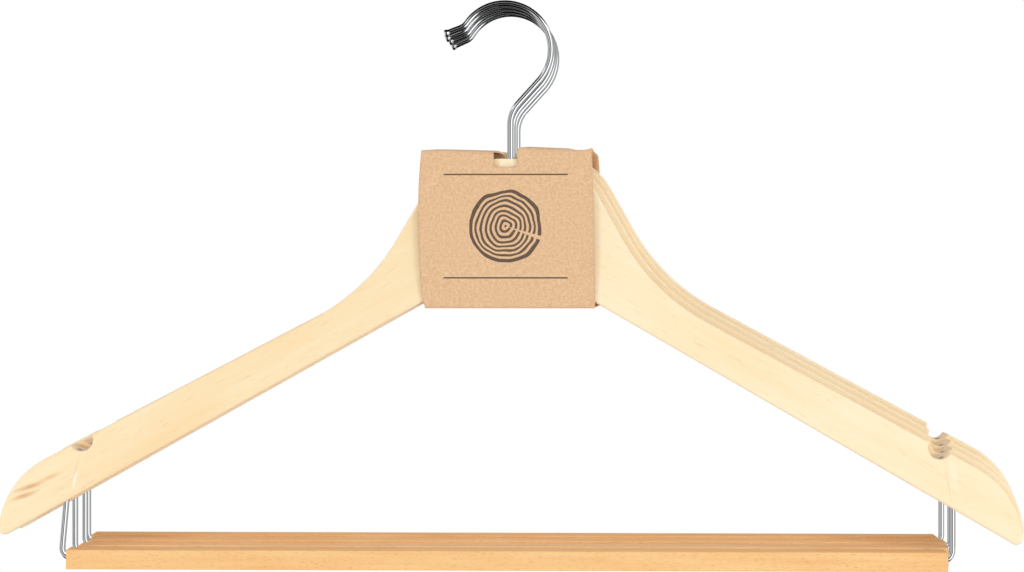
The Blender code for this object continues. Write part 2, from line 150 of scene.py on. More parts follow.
def distance_from(tree: Tree, value: Any, middle: float) -> bpy.types.Node:
    """Work out how far a value lies from a middle, as the size of their difference.

    Args:
        tree: the node tree.
        value: the value.
        middle: the middle.

    Returns:
        The distance.
    """
    off = add_node(tree, "Math", {0: value, 1: middle}, operation="SUBTRACT")
    return add_node(tree, "Math", {0: off}, operation="ABSOLUTE")


def lay_over(tree: Tree, colour: Any, paint: str, pattern: Any, span: tuple[float, float],
             cover: tuple[float, float] = (0.0, 1.0)) -> tuple[Socket, bpy.types.Node]:
    """Lay a paint over a colour where a pattern asks for it.

    Args:
        tree: the material's nodes.
        colour: the colour so far.
        paint: the paint as a hex colour.
        pattern: the pattern.
        span: the pattern's values between which the cover changes.
        cover: how much the paint covers before and after the span.

    Returns:
        The new colour, and the node that gives the cover.
    """
    share = add_node(tree, "MapRange", {"Value": pattern, "From Min": span[0], "From Max": span[1],
                                        "To Min": cover[0], "To Max": cover[1]})
    mixed = add_node(tree, "Mix", {"Factor": share, 6: colour, 7: linear(paint)}, data_type="RGBA")
    return mixed.outputs[2], share


def quarter_turn(steps: int) -> np.ndarray:
    """Angles from 0 to a right angle, in equal steps."""
    return np.linspace(0.0, math.pi / 2, steps + 1)


def eased(share: np.ndarray) -> np.ndarray:
    """Clip a share to between 0 and 1 and let it start and stop softly, as 3 s^2 - 2 s^3."""
    share = np.clip(share, 0.0, 1.0)
    return share ** 2 * (3 - 2 * share)


def grid_faces(rows: int, columns: int, wrap: bool = True) -> np.ndarray:
    """Quads between neighbouring points of a grid that is stored row by row.

    Args:
        rows: number of rows.
        columns: number of points in a row.
        wrap: whether the last column joins the first.

    Returns:
        Point numbers, four to a face.
    """
    row = np.arange(rows - 1)[:, None] * columns
    column = np.arange(columns if wrap else columns - 1)[None, :]
    right = (column + 1) % columns
    corners = (row + column, row + right, row + columns + right, row + columns + column)
    return np.stack(corners, axis=-1).reshape(-1, 4)


def fan_faces(first: int, columns: int, pole: int) -> np.ndarray:
    """Triangles from a closed row of points to one pole.

    Args:
        first: number of the row's first point.
        columns: points in the row.
        pole: number of the pole.

    Returns:
        Point numbers, three to a face.
    """
    column = np.arange(columns)
    return np.stack((first + (column + 1) % columns, first + column, np.full(columns, pole)), axis=-1)


def surface(name: str, points: np.ndarray, faces: Sequence[np.ndarray]) -> Piece:
    """Put a mesh into the scene as it is given.

    Args:
        name: the piece's name.
        points: its points in the pack's frame.
        faces: arrays of faces, each with its own number of corners.

    Returns:
        The object, at the origin.
    """
    sizes = np.concatenate([np.full(len(group), group.shape[1]) for group in faces])
    corners = np.concatenate([group.reshape(-1) for group in faces])
    mesh = bpy.data.meshes.new(name)
    mesh.vertices.add(len(points))
    mesh.vertices.foreach_set("co", points.astype(np.float32).reshape(-1))
    mesh.loops.add(len(corners))
    mesh.loops.foreach_set("vertex_index", corners.astype(np.int32))
    mesh.polygons.add(len(sizes))
    mesh.polygons.foreach_set("loop_start", (np.cumsum(sizes) - sizes).astype(np.int32))
    mesh.polygons.foreach_set("use_smooth", np.ones(len(sizes), dtype=bool))
    mesh.update(calc_edges=True)
    mesh.validate()
    piece = bpy.data.objects.new(name, mesh)
    bpy.context.scene.collection.objects.link(piece)
    return piece


def solid(name: str, points: np.ndarray, faces: Sequence[np.ndarray]) -> Piece:
    """Put a closed mesh into the scene, with its faces turned outwards.

    Its volume is the sum of the cones from the origin to its faces, and is negative where they point inwards.

    Args:
        name: the piece's name.
        points: its points in the pack's frame.
        faces: arrays of faces, each with its own number of corners.

    Returns:
        The object, at the origin.
    """
    volume = 0.0
    for group in faces:
        corners = points[group]
        crossed = np.cross(corners[:, 1:-1], corners[:, 2:])
        volume += float(np.einsum("fd,fkd->", corners[:, 0], crossed))
    if volume < 0:
        faces = [group[:, ::-1] for group in faces]
    return surface(name, points, faces)


def capped(name: str, rings: np.ndarray) -> Piece:
    """Close a row of rings into a solid whose first and last rings are flat faces.

    Args:
        name: the piece's name.
        rings: points as (ring, place on the ring, axis).

    Returns:
        The object.
    """
    count, columns, _ = rings.shape
    first = np.arange(columns)[None, ::-1]
    last = first[:, ::-1] + (count - 1) * columns
    return solid(name, rings.reshape(-1, 3), [grid_faces(count, columns), first, last])


def lofted(name: str, rings: np.ndarray) -> Piece:
    """Close a row of rings into a solid, with a pole in the middle of each end.

    Args:
        name: the piece's name.
        rings: points as (ring, place on the ring, axis).

    Returns:
        The object.
    """
    count, columns, _ = rings.shape
    ends = np.stack((rings[0].mean(axis=0), rings[-1].mean(axis=0)))
    points = np.concatenate((rings.reshape(-1, 3), ends))
    first_pole = count * columns
    first_fan = fan_faces(0, columns, first_pole)
    last_fan = fan_faces((count - 1) * columns, columns, first_pole + 1)[:, ::-1]
    return solid(name, points, [grid_faces(count, columns), first_fan, last_fan])


def tube(name: str, path: np.ndarray, radius: np.ndarray, sides: int = 28) -> Piece:
    """Carry a round section along a path in the plane of X and Z.

    A point is path + radius * (cos(turn) * normal + sin(turn) * Y), where the normal is Y x tangent.

    Args:
        name: the piece's name.
        path: centre line as rows of X, Y and Z.
        radius: the section's radius at each row.
        sides: points round the section.

    Returns:
        The object.
    """
    tangent = np.gradient(path, axis=0)
    tangent /= np.linalg.norm(tangent, axis=1, keepdims=True)
    across = np.array([0.0, 1.0, 0.0])
    normal = np.cross(across, tangent)
    turn = np.linspace(0.0, 2.0 * math.pi, sides, endpoint=False)
    section = np.cos(turn)[None, :, None] * normal[:, None, :] + np.sin(turn)[None, :, None] * across
    return lofted(name, path[:, None, :] + radius[:, None, None] * section)


def keep_flat_faces_flat(piece: Piece) -> None:
    """Shade the large faces flat and let their narrow rounded edges take the bend.

    Args:
        piece: the piece, which keeps the modifier.
    """
    weighted = piece.modifiers.new("flat_faces", "WEIGHTED_NORMAL")
    weighted.weight = 100
    weighted.keep_sharp = True


def carve(piece: Piece, cutters: Sequence[Piece]) -> None:
    """Cut shapes out of a piece, keep the result as its mesh and remove the cutters and the modifiers.

    Args:
        piece: what is cut.
        cutters: closed shapes to take out of it.
    """
    for cutter in cutters:
        boolean = piece.modifiers.new(cutter.name, "BOOLEAN")
        boolean.operation = "DIFFERENCE"
        boolean.solver = "EXACT"
        boolean.object = cutter
    graph = bpy.context.evaluated_depsgraph_get()
    carved = bpy.data.meshes.new_from_object(piece.evaluated_get(graph), depsgraph=graph)
    piece.modifiers.clear()
    piece.data = carved
    carved.name = piece.name
    for cutter in cutters:
        bpy.data.objects.remove(cutter)


def fit_in(piece: Piece, body: str, slot: str, nodes: Sequence[str],
           materials: Sequence[bpy.types.Material]) -> None:
    """Dress a finished piece and put it in the place of its plain solids.

    The photograph's metal mirrors a dark room and hardly the wood or the paper beside it, so those are
    hidden from it.

    Args:
        piece: the finished piece.
        body: the moving body that it rides on.
        slot: the record's material slot.
        nodes: the plain solids that it stands for.
        materials: its finishes, in the order of its material numbers.
    """
    piece.data.materials.clear()
    for material in materials:
        piece.data.materials.append(material)
    piece.visible_glossy = slot.endswith("chrome")
    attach(piece, body)
    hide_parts(*nodes)
    LOG.info("%s: %d faces on %s", piece.name, len(piece.data.polygons), body)


# Drawing in a plane


class Pen:
    """Draws straight runs and round bends in one plane, as rows of two numbers."""

    widest_facet_deg: float = 4.0

    def __init__(self, start: Sequence[float], heading_deg: float) -> None:
        """Put the pen down.

        Args:
            start: where the line starts.
            heading_deg: where it heads, against the first axis.
        """
        self.rows = [np.array([start], dtype=float)]
        self.heading = math.radians(heading_deg)

    @property
    def end(self) -> np.ndarray:
        """The last point."""
        return self.rows[-1][-1]

    @property
    def points(self) -> np.ndarray:
        """All points so far."""
        return np.concatenate(self.rows)

    def run(self, length: float, pieces: int = 1) -> "Pen":
        """Draw a straight run ahead.

        Args:
            length: how far.
            pieces: in how many equal steps.

        Returns:
            The pen.
        """
        ahead = np.array([math.cos(self.heading), math.sin(self.heading)])
        steps = np.linspace(0.0, length, pieces + 1)[1:, None]
        self.rows.append(self.end + steps * ahead)
        return self

    def bend(self, degrees: float, radius: float, pieces: int = 0) -> "Pen":
        """Draw a round bend, to the left where degrees is positive.

        Args:
            degrees: how far the heading turns.
            radius: the bend's radius.
            pieces: in how many steps, or 0 for steps of the widest facet.

        Returns:
            The pen.
        """
        turn = math.radians(degrees)
        hand = math.copysign(1.0, turn)
        pieces = pieces or max(2, math.ceil(abs(degrees) / self.widest_facet_deg))
        left = np.array([-math.sin(self.heading), math.cos(self.heading)])
        centre = self.end + left * radius * hand
        spoke = self.heading - hand * math.pi / 2 + np.linspace(0.0, turn, pieces + 1)[1:]
        self.rows.append(centre + radius * np.stack((np.cos(spoke), np.sin(spoke)), axis=-1))
        self.heading += turn
        return self

    def dome(self, radius: float, rounding: float, steps: int = 5) -> np.ndarray:
        """Draw on over the end of a wire whose rim is a quarter round of radius r.

        At a turn a of the round the line is r sin a ahead, and the wire r (1 - cos a) thinner.

        Args:
            radius: the wire's radius before its end.
            rounding: the rim's radius.
            steps: in how many steps.

        Returns:
            The wire's radius at each of the new points.
        """
        turn = quarter_turn(steps)
        for ahead in np.diff(np.sin(turn)) * rounding:
            self.run(float(ahead))
        return radius - rounding * (1 - np.cos(turn[1:]))


def soften_corners(points: np.ndarray, cut: float, sharpest_deg: float = 30.0) -> np.ndarray:
    """Round the sharp corners of a closed outline.

    A corner p between its cut points a and b becomes (1-t)^2 a + 2t(1-t) p + t^2 b.

    Args:
        points: the outline.
        cut: how far before and after a corner the round starts.
        sharpest_deg: a turn above this is a corner.

    Returns:
        The outline with five points at each corner.
    """
    before = np.roll(points, 1, axis=0) - points
    after = np.roll(points, -1, axis=0) - points
    length_before = np.linalg.norm(before, axis=1)
    length_after = np.linalg.norm(after, axis=1)
    straight = -np.sum(before * after, axis=1) / (length_before * length_after)
    corner = straight < math.cos(math.radians(sharpest_deg))
    reach = np.minimum(cut, 0.45 * np.minimum(length_before, length_after)) * corner
    a = points + before * (reach / length_before)[:, None]
    b = points + after * (reach / length_after)[:, None]
    t = np.linspace(0.0, 1.0, 5)[None, :, None]
    rounded = (1 - t) ** 2 * a[:, None] + 2 * t * (1 - t) * points[:, None] + t ** 2 * b[:, None]
    keep = corner[:, None] | (np.arange(5) == 0)[None, :]
    return rounded[keep]


def outline_normals(points: np.ndarray) -> np.ndarray:
    """Left-hand normals of a closed outline, longer at its corners so that an offset keeps its width.

    Args:
        points: the outline.

    Returns:
        One normal for each point.
    """
    edge = np.roll(points, -1, axis=0) - points
    edge /= np.linalg.norm(edge, axis=1, keepdims=True)
    left = np.stack((-edge[:, 1], edge[:, 0]), axis=-1)
    both = left + np.roll(left, 1, axis=0)
    length = np.linalg.norm(both, axis=1, keepdims=True)
    return both / length * np.minimum(2.0 / length, 1.25)


# How the pack is stacked


@dataclass(frozen=True)
class Stack:
    """Where each hanger sits in the pack, front to back, as stacked by hand."""

    count: int = 4
    board: float = 0.012
    arm_shift: tuple[float, ...] = (0.0006, 0.0038, 0.0059, 0.0070)
    arm_lift: tuple[float, ...] = (-0.0008, 0.0004, 0.0027, 0.0040)
    arm_turn_deg: tuple[float, ...] = (-0.42, -0.36, -0.50, -0.33)
    hook_shift: tuple[float, ...] = (0.0004, 0.0012, 0.0020, 0.0030)
    crown_drop: float = 0.0663

    @property
    def depth(self) -> float:
        """The boards' depth together, with the gaps between them."""
        return self.count * self.board + (self.count - 1) * TOUCH_GAP

    def middle(self, index: int) -> float:
        """The Y of a hanger's middle plane."""
        return -self.depth / 2 + self.board / 2 + index * (self.board + TOUCH_GAP)

    def place(self, index: int, points: np.ndarray) -> np.ndarray:
        """Turn and move points of a board's own plane into the pack.

        Args:
            index: the hanger's number from the front, starting at 0.
            points: rows of X and Z from the middle of the crown.

        Returns:
            Rows of X and Z in the pack.
        """
        turn = -math.radians(self.arm_turn_deg[index])
        x = points[..., 0] * math.cos(turn) + points[..., 1] * math.sin(turn)
        z = points[..., 1] * math.cos(turn) - points[..., 0] * math.sin(turn)
        return np.stack((x + self.arm_shift[index], z + self.arm_lift[index] - self.crown_drop), axis=-1)


@dataclass(frozen=True)
class PackPieces:
    """Pieces of one kind in the pack."""

    stack: Stack


# Finishes


@dataclass(frozen=True)
class Finish:
    """What a piece is made of and how its surface was made, as one material."""

    name: str

    def material(self) -> bpy.types.Material:
        """Build the material on Object coordinates.

        Returns:
            The material.
        """
        material = bpy.data.materials.new(self.name)
        material.use_nodes = True
        tree = material.node_tree
        place = add_node(tree, "TexCoord").outputs["Object"]
        feed(tree, tree.nodes["Principled BSDF"], self.look(tree, place))
        return material

    def look(self, tree: Tree, place: Socket) -> dict[str, Any]:
        """Work out what feeds the shader.

        Args:
            tree: the material's nodes.
            place: the Object coordinates.

        Returns:
            The shader's inputs by name.
        """
        raise NotImplementedError


@dataclass(frozen=True)
class Mark:
    """A long spot on a board: the brown figure beside a knot, a hairline, and the pale streak beside a
    hairline, which is a painted highlight.

    Attributes:
        x: place of its middle.
        z: height of its middle.
        half_length: half its length.
        slant_deg: its slant in the front view.
        slimness: its length over its width.
        strength: how much it covers.
        colour: its colour.
    """

    x: float
    z: float
    half_length: float
    slant_deg: float
    slimness: float
    strength: float
    colour: str

    def stain_and_highlight(self, tree: Tree, place: Socket, streaks: bpy.types.Node, colour: Socket) -> Socket:
        """Lay the mark on a board: a brown mark stains it, and a pale mark is a painted highlight.

        The mark falls off with the distance from the mark's middle, measured shorter along its own slant,
        and the board's streaks break it up.

        Args:
            tree: the material's nodes.
            place: the Object coordinates.
            streaks: the streak pattern.
            colour: the colour so far.

        Returns:
            The colour with the mark.
        """
        centred = add_node(tree, "VectorMath", {0: place, 1: (self.x, 0.0, self.z)}, operation="SUBTRACT")
        slant = (0.0, math.radians(self.slant_deg), 0.0)
        turned = add_node(tree, "Mapping", {"Vector": centred, "Rotation": slant})
        squeeze = (1 / self.half_length, 0.0, self.slimness / self.half_length)
        squeezed = add_node(tree, "VectorMath", {0: turned, 1: squeeze}, operation="MULTIPLY")
        far = add_node(tree, "VectorMath", {0: squeezed}, operation="LENGTH").outputs["Value"]
        ragged = add_node(tree, "Math", {0: streaks, 1: 1.3, 2: far}, operation="MULTIPLY_ADD")
        return lay_over(tree, colour, self.colour, ragged, (0.65, 1.55), (self.strength, 0.0))[0]


@dataclass(frozen=True)
class SatinBeech(Finish):
    """Beech board, planed, sanded and sprayed with satin lacquer.

    It gives the eye a pale cream face with a faint straight grain, short fine pores along it and a soft sheen
    without a mirror.
    """

    grain_deg: float
    shift: tuple[float, float, float]
    pale: str
    honey: str
    marks: tuple[Mark, ...]
    pore: str = "#D9A06A"
    # Painted shade for the rounded edges, which turn away from the lamps.
    edge: str = "#F8DCC0"
    streak_mm: float = 2.6
    pore_mm: float = 0.55

    def look(self, tree: Tree, place: Socket) -> dict[str, Any]:
        """Work out the grain along the arm, the marks on it and the painted shade on the milled edges.

        Args:
            tree: the material's nodes.
            place: the Object coordinates.

        Returns:
            The shader's inputs by name.
        """
        slant = (0.0, math.radians(self.grain_deg), 0.0)
        grain = add_node(tree, "Mapping", {"Vector": place, "Location": self.shift, "Rotation": slant})
        # Streaks a few millimetres wide and a few centimetres long: the early and late wood of the board.
        streak = 1000.0 / self.streak_mm
        streaks = stretched_noise(tree, grain, (14.0, streak, streak), 5.0, 0.62)
        # Clouds of tone some centimetres across, as the lacquer and the board's heart give.
        clouds = stretched_noise(tree, grain, (16.0, 60.0, 60.0), 2.0, 0.5)
        fine = add_node(tree, "Math", {0: streaks, 1: 0.45}, operation="MULTIPLY")
        tone = add_node(tree, "Math", {0: clouds, 1: 0.75, 2: fine}, operation="MULTIPLY_ADD")
        colour, _ = lay_over(tree, linear(self.pale), self.honey, tone, (0.40, 0.86))
        # Pores are about a fifth of a millimetre wide. They are drawn wider here, so that they still show.
        pore = 1000.0 / self.pore_mm
        dashes = stretched_noise(tree, grain, (150.0, pore, pore), 1.0, 0.4)
        colour, pores = lay_over(tree, colour, self.pore, dashes, (0.66, 0.80), (0.0, 0.30))
        # Brown marks stain the board; the near-white marks are painted highlights beside the hairlines.
        for mark in self.marks:
            colour = mark.stain_and_highlight(tree, place, streaks, colour)
        # Painted shade: the rounded edges turn away from the front light, so they are painted a little darker
        # and pinker than the faces.
        facing = add_node(tree, "SeparateXYZ", {0: add_node(tree, "TexCoord").outputs["Normal"]})
        facing_light = add_node(tree, "Math", {0: facing.outputs["Y"]}, operation="ABSOLUTE")
        colour, _ = lay_over(tree, colour, self.edge, facing_light, (0.6, 0.99), (0.55, 0.0))
        satin = add_node(tree, "MapRange", {"Value": streaks, "To Min": 0.40, "To Max": 0.52})
        relief = add_node(tree, "Math", {0: pores, 1: -1.6, 2: streaks}, operation="MULTIPLY_ADD")
        bump = add_node(tree, "Bump", {"Height": relief, "Strength": 0.10, "Distance": 0.0002})
        return {"Base Color": colour, "Roughness": satin, "Normal": bump, "Coat Weight": 0.18,
                "Coat Roughness": 0.22}


@dataclass(frozen=True)
class OiledHardwood(Finish):
    """Hardwood strip for the trouser bar, machined square, stained light orange and oiled.

    It gives the eye a warm orange-brown with a close straight grain and dark dashes of pores.
    """

    shift: tuple[float, float, float]
    light: str
    dark: str
    knot: tuple[float, float] | None
    pore: str = "#9A5C28"

    def look(self, tree: Tree, place: Socket) -> dict[str, Any]:
        """Work out the grain along X, and a knot where the strip has one.

        Args:
            tree: the material's nodes.
            place: the Object coordinates.

        Returns:
            The shader's inputs by name.
        """
        moved = add_node(tree, "VectorMath", {0: place, 1: self.shift}, operation="ADD")
        # Growth lines about a millimetre apart and some centimetres long, and broader clouds of tone.
        lines = stretched_noise(tree, moved, (18.0, 700.0, 700.0), 4.0, 0.6)
        clouds = stretched_noise(tree, moved, (22.0, 120.0, 120.0), 3.0, 0.55)
        fine = add_node(tree, "Math", {0: lines, 1: 0.55}, operation="MULTIPLY")
        tone = add_node(tree, "Math", {0: clouds, 1: 0.60, 2: fine}, operation="MULTIPLY_ADD")
        colour, _ = lay_over(tree, linear(self.light), self.dark, tone, (0.36, 0.80))
        # Pores of this wood are dashes two or three millimetres long, drawn wider so that they show.
        dashes = stretched_noise(tree, moved, (480.0, 2600.0, 2600.0), 1.0, 0.4)
        colour, pores = lay_over(tree, colour, self.pore, dashes, (0.58, 0.80), (0.0, 0.30))
        if self.knot is not None:
            x, z = self.knot
            centred = add_node(tree, "VectorMath", {0: place, 1: (x, 0.0, z)}, operation="SUBTRACT")
            # The knot is about 6 mm long and 3 mm high.
            squeeze = (310.0, 0.0, 620.0)
            squeezed = add_node(tree, "VectorMath", {0: centred, 1: squeeze}, operation="MULTIPLY")
            far = add_node(tree, "VectorMath", {0: squeezed}, operation="LENGTH").outputs["Value"]
            colour, _ = lay_over(tree, colour, self.pore, far, (0.5, 1.5), (0.7, 0.0))
        relief = add_node(tree, "Math", {0: pores, 1: -1.2, 2: lines}, operation="MULTIPLY_ADD")
        bump = add_node(tree, "Bump", {"Height": relief, "Strength": 0.22, "Distance": 0.0002})
        return {"Base Color": colour, "Roughness": 0.50, "Normal": bump}


@dataclass(frozen=True)
class BrightChrome(Finish):
    """Steel wire, drawn, bent and chrome plated over nickel.

    It gives the eye a near mirror with white bands and black lines along the wire, here and there a little
    softer.
    """

    colour: str = "#C4C5C6"
    roughness: float = 0.04

    def look(self, tree: Tree, place: Socket) -> dict[str, Any]:
        """Work out the gloss, which plating clouds of a few millimetres change a little.

        Args:
            tree: the material's nodes.
            place: the Object coordinates.

        Returns:
            The shader's inputs by name.
        """
        clouds = add_node(tree, "TexNoise", {"Vector": place, "Scale": 260.0, "Detail": 3.0})
        gloss = add_node(tree, "MapRange", {"Value": clouds, "From Min": 0.3, "From Max": 0.7,
                                            "To Min": self.roughness * 0.7, "To Max": self.roughness * 1.5})
        return {"Base Color": linear(self.colour), "Metallic": 1.0, "Roughness": gloss}


@dataclass(frozen=True)
class ZincSteel(Finish):
    """Punched steel washer with a thin coat of zinc.

    It gives the eye a dull silver grey with fine turning marks.
    """

    colour: str = "#BFC2C4"

    def look(self, tree: Tree, place: Socket) -> dict[str, Any]:
        """Work out the turning marks, which change the gloss and the surface.

        Args:
            tree: the material's nodes.
            place: the Object coordinates.

        Returns:
            The shader's inputs by name.
        """
        marks = add_node(tree, "TexNoise", {"Vector": place, "Scale": 2400.0, "Detail": 3.0})
        gloss = add_node(tree, "MapRange", {"Value": marks, "To Min": 0.30, "To Max": 0.46})
        bump = add_node(tree, "Bump", {"Height": marks, "Strength": 0.2, "Distance": 0.00005})
        return {"Base Color": linear(self.colour), "Metallic": 1.0, "Roughness": gloss, "Normal": bump}


@dataclass(frozen=True)
class GrowthRingPrint:
    """A generic print in one ink: the end of a log with its growth rings, between two thin rules."""

    centre: tuple[float, float] = (-0.0016, -0.0965)
    radius: float = 0.0150
    rings: int = 7
    rule_offsets: tuple[float, ...] = (0.0225, -0.0225)
    rule_half_length: float = 0.0270
    rule_half_width: float = 0.00032
    ink: str = "#5B4C42"

    def mask(self, tree: Tree, place: Socket) -> bpy.types.Node:
        """Where the ink lies, from the X and Z of the Object coordinates.

        The rings are a cosine of the distance from the pith, which noise makes uneven. A check runs from the
        pith to the bark.

        Args:
            tree: the material's nodes.
            place: the Object coordinates.

        Returns:
            1 on the ink and 0 beside it.
        """
        x, z = self.centre
        from_pith = add_node(tree, "VectorMath", {0: place, 1: (x, 0.0, z)}, operation="SUBTRACT")
        level = add_node(tree, "VectorMath", {0: from_pith, 1: (1.0, 0.0, 1.0)}, operation="MULTIPLY")
        wobble = add_node(tree, "TexNoise",
                          {"Vector": level, "Scale": 95.0, "Detail": 1.5, "Roughness": 0.45})
        uneven = add_node(tree, "VectorMath", {0: wobble.outputs["Color"], 1: (0.5, 0.5, 0.5)},
                          operation="SUBTRACT")
        pushed = add_node(tree, "VectorMath", {0: uneven, 1: (0.0042, 0.0, 0.0042), 2: level},
                          operation="MULTIPLY_ADD")
        distance = add_node(tree, "VectorMath", {0: pushed}, operation="LENGTH").outputs["Value"]
        waves = 2 * math.pi * self.rings / self.radius
        phase = add_node(tree, "Math", {0: distance, 1: waves}, operation="MULTIPLY")
        wave = add_node(tree, "Math", {0: phase}, operation="COSINE")
        ring = add_node(tree, "MapRange", {"Value": wave, "From Min": -0.25, "From Max": 0.25})
        # The wood ends just inside the radius, and the bark is a line 1.6 mm wide just outside it.
        inside = add_node(tree, "MapRange", {"Value": distance, "From Min": self.radius * 0.93,
                                             "From Max": self.radius * 0.95, "To Min": 1.0, "To Max": 0.0})
        wood = add_node(tree, "Math", {0: ring, 1: inside}, operation="MULTIPLY")
        off_bark = distance_from(tree, distance, self.radius * 1.02)
        bark = add_node(tree, "MapRange", {"Value": off_bark, "From Min": 0.00075, "From Max": 0.00090,
                                           "To Min": 1.0, "To Max": 0.0})
        disc = add_node(tree, "Math", {0: wood, 1: bark}, operation="MAXIMUM")

        parts = add_node(tree, "SeparateXYZ", {0: level})
        x, z = parts.outputs["X"], parts.outputs["Z"]
        check_rise = add_node(tree, "Math", {0: x, 1: 0.34, 2: z}, operation="MULTIPLY_ADD")
        check_off = add_node(tree, "Math", {0: check_rise}, operation="ABSOLUTE")
        check_width = add_node(tree, "Math", {0: x, 1: 0.06}, operation="MULTIPLY")
        beside_check = add_node(tree, "Math", {0: check_off, 1: check_width}, operation="GREATER_THAN")
        ink = add_node(tree, "Math", {0: disc, 1: beside_check}, operation="MULTIPLY")

        aside = add_node(tree, "Math", {0: x}, operation="ABSOLUTE")
        short = add_node(tree, "Math", {0: aside, 1: self.rule_half_length}, operation="LESS_THAN")
        for offset in self.rule_offsets:
            off_rule = distance_from(tree, z, offset)
            thin = add_node(tree, "Math", {0: off_rule, 1: self.rule_half_width}, operation="LESS_THAN")
            rule = add_node(tree, "Math", {0: thin, 1: short}, operation="MULTIPLY")
            ink = add_node(tree, "Math", {0: ink, 1: rule}, operation="MAXIMUM")
        return ink


@dataclass(frozen=True)
class KraftBoard(Finish):
    """Unbleached kraft board, machine finished and left bare.

    It gives the eye a matt light brown with cloudy formation, pale and dark fibres and a soft tooth.
    """

    light: str = "#EAC69E"
    dark: str = "#DBB088"
    fibre: str = "#B4855A"
    pale_fibre: str = "#F3D5B0"
    artwork: GrowthRingPrint | None = None

    def look(self, tree: Tree, place: Socket) -> dict[str, Any]:
        """Work out the formation, the fibres and the print on the front panel.

        Args:
            tree: the material's nodes.
            place: the Object coordinates.

        Returns:
            The shader's inputs by name.
        """
        # Formation clouds about a millimetre across, as the pulp settled on the wire.
        formation = add_node(tree, "TexNoise",
                             {"Vector": place, "Scale": 900.0, "Detail": 5.0, "Roughness": 0.62})
        colour, _ = lay_over(tree, linear(self.light), self.dark, formation, (0.34, 0.66))
        # Fibres are a millimetre or two long. They lie at two slants and are drawn a little wide to show.
        for slant_deg, fibre in ((25.0, self.fibre), (-48.0, self.pale_fibre)):
            slant = (0.3, math.radians(slant_deg), 0.2)
            turned = add_node(tree, "Mapping", {"Vector": place, "Rotation": slant})
            fibres = stretched_noise(tree, turned, (900.0, 3400.0, 3400.0), 2.0, 0.5)
            colour, _ = lay_over(tree, colour, fibre, fibres, (0.58, 0.74), (0.0, 0.34))
        if self.artwork is not None:
            depth = add_node(tree, "SeparateXYZ", {0: place}).outputs["Y"]
            in_front = add_node(tree, "Math", {0: depth, 1: 0.0}, operation="LESS_THAN")
            mask = self.artwork.mask(tree, place)
            ink = add_node(tree, "Math", {0: mask, 1: in_front}, operation="MULTIPLY")
            # The tooth of the board breaks the ink up a little.
            tooth = add_node(tree, "MapRange", {"Value": formation, "From Min": 0.3, "From Max": 0.75,
                                                "To Min": 1.0, "To Max": 0.88})
            worn = add_node(tree, "Math", {0: ink, 1: tooth}, operation="MULTIPLY")
            colour, _ = lay_over(tree, colour, self.artwork.ink, worn, (0.0, 1.0))
        bump = add_node(tree, "Bump", {"Height": formation, "Strength": 0.25, "Distance": 0.0002})
        return {"Base Color": colour, "Roughness": 0.88, "Specular IOR Level": 0.25, "Normal": bump}


# The wooden boards


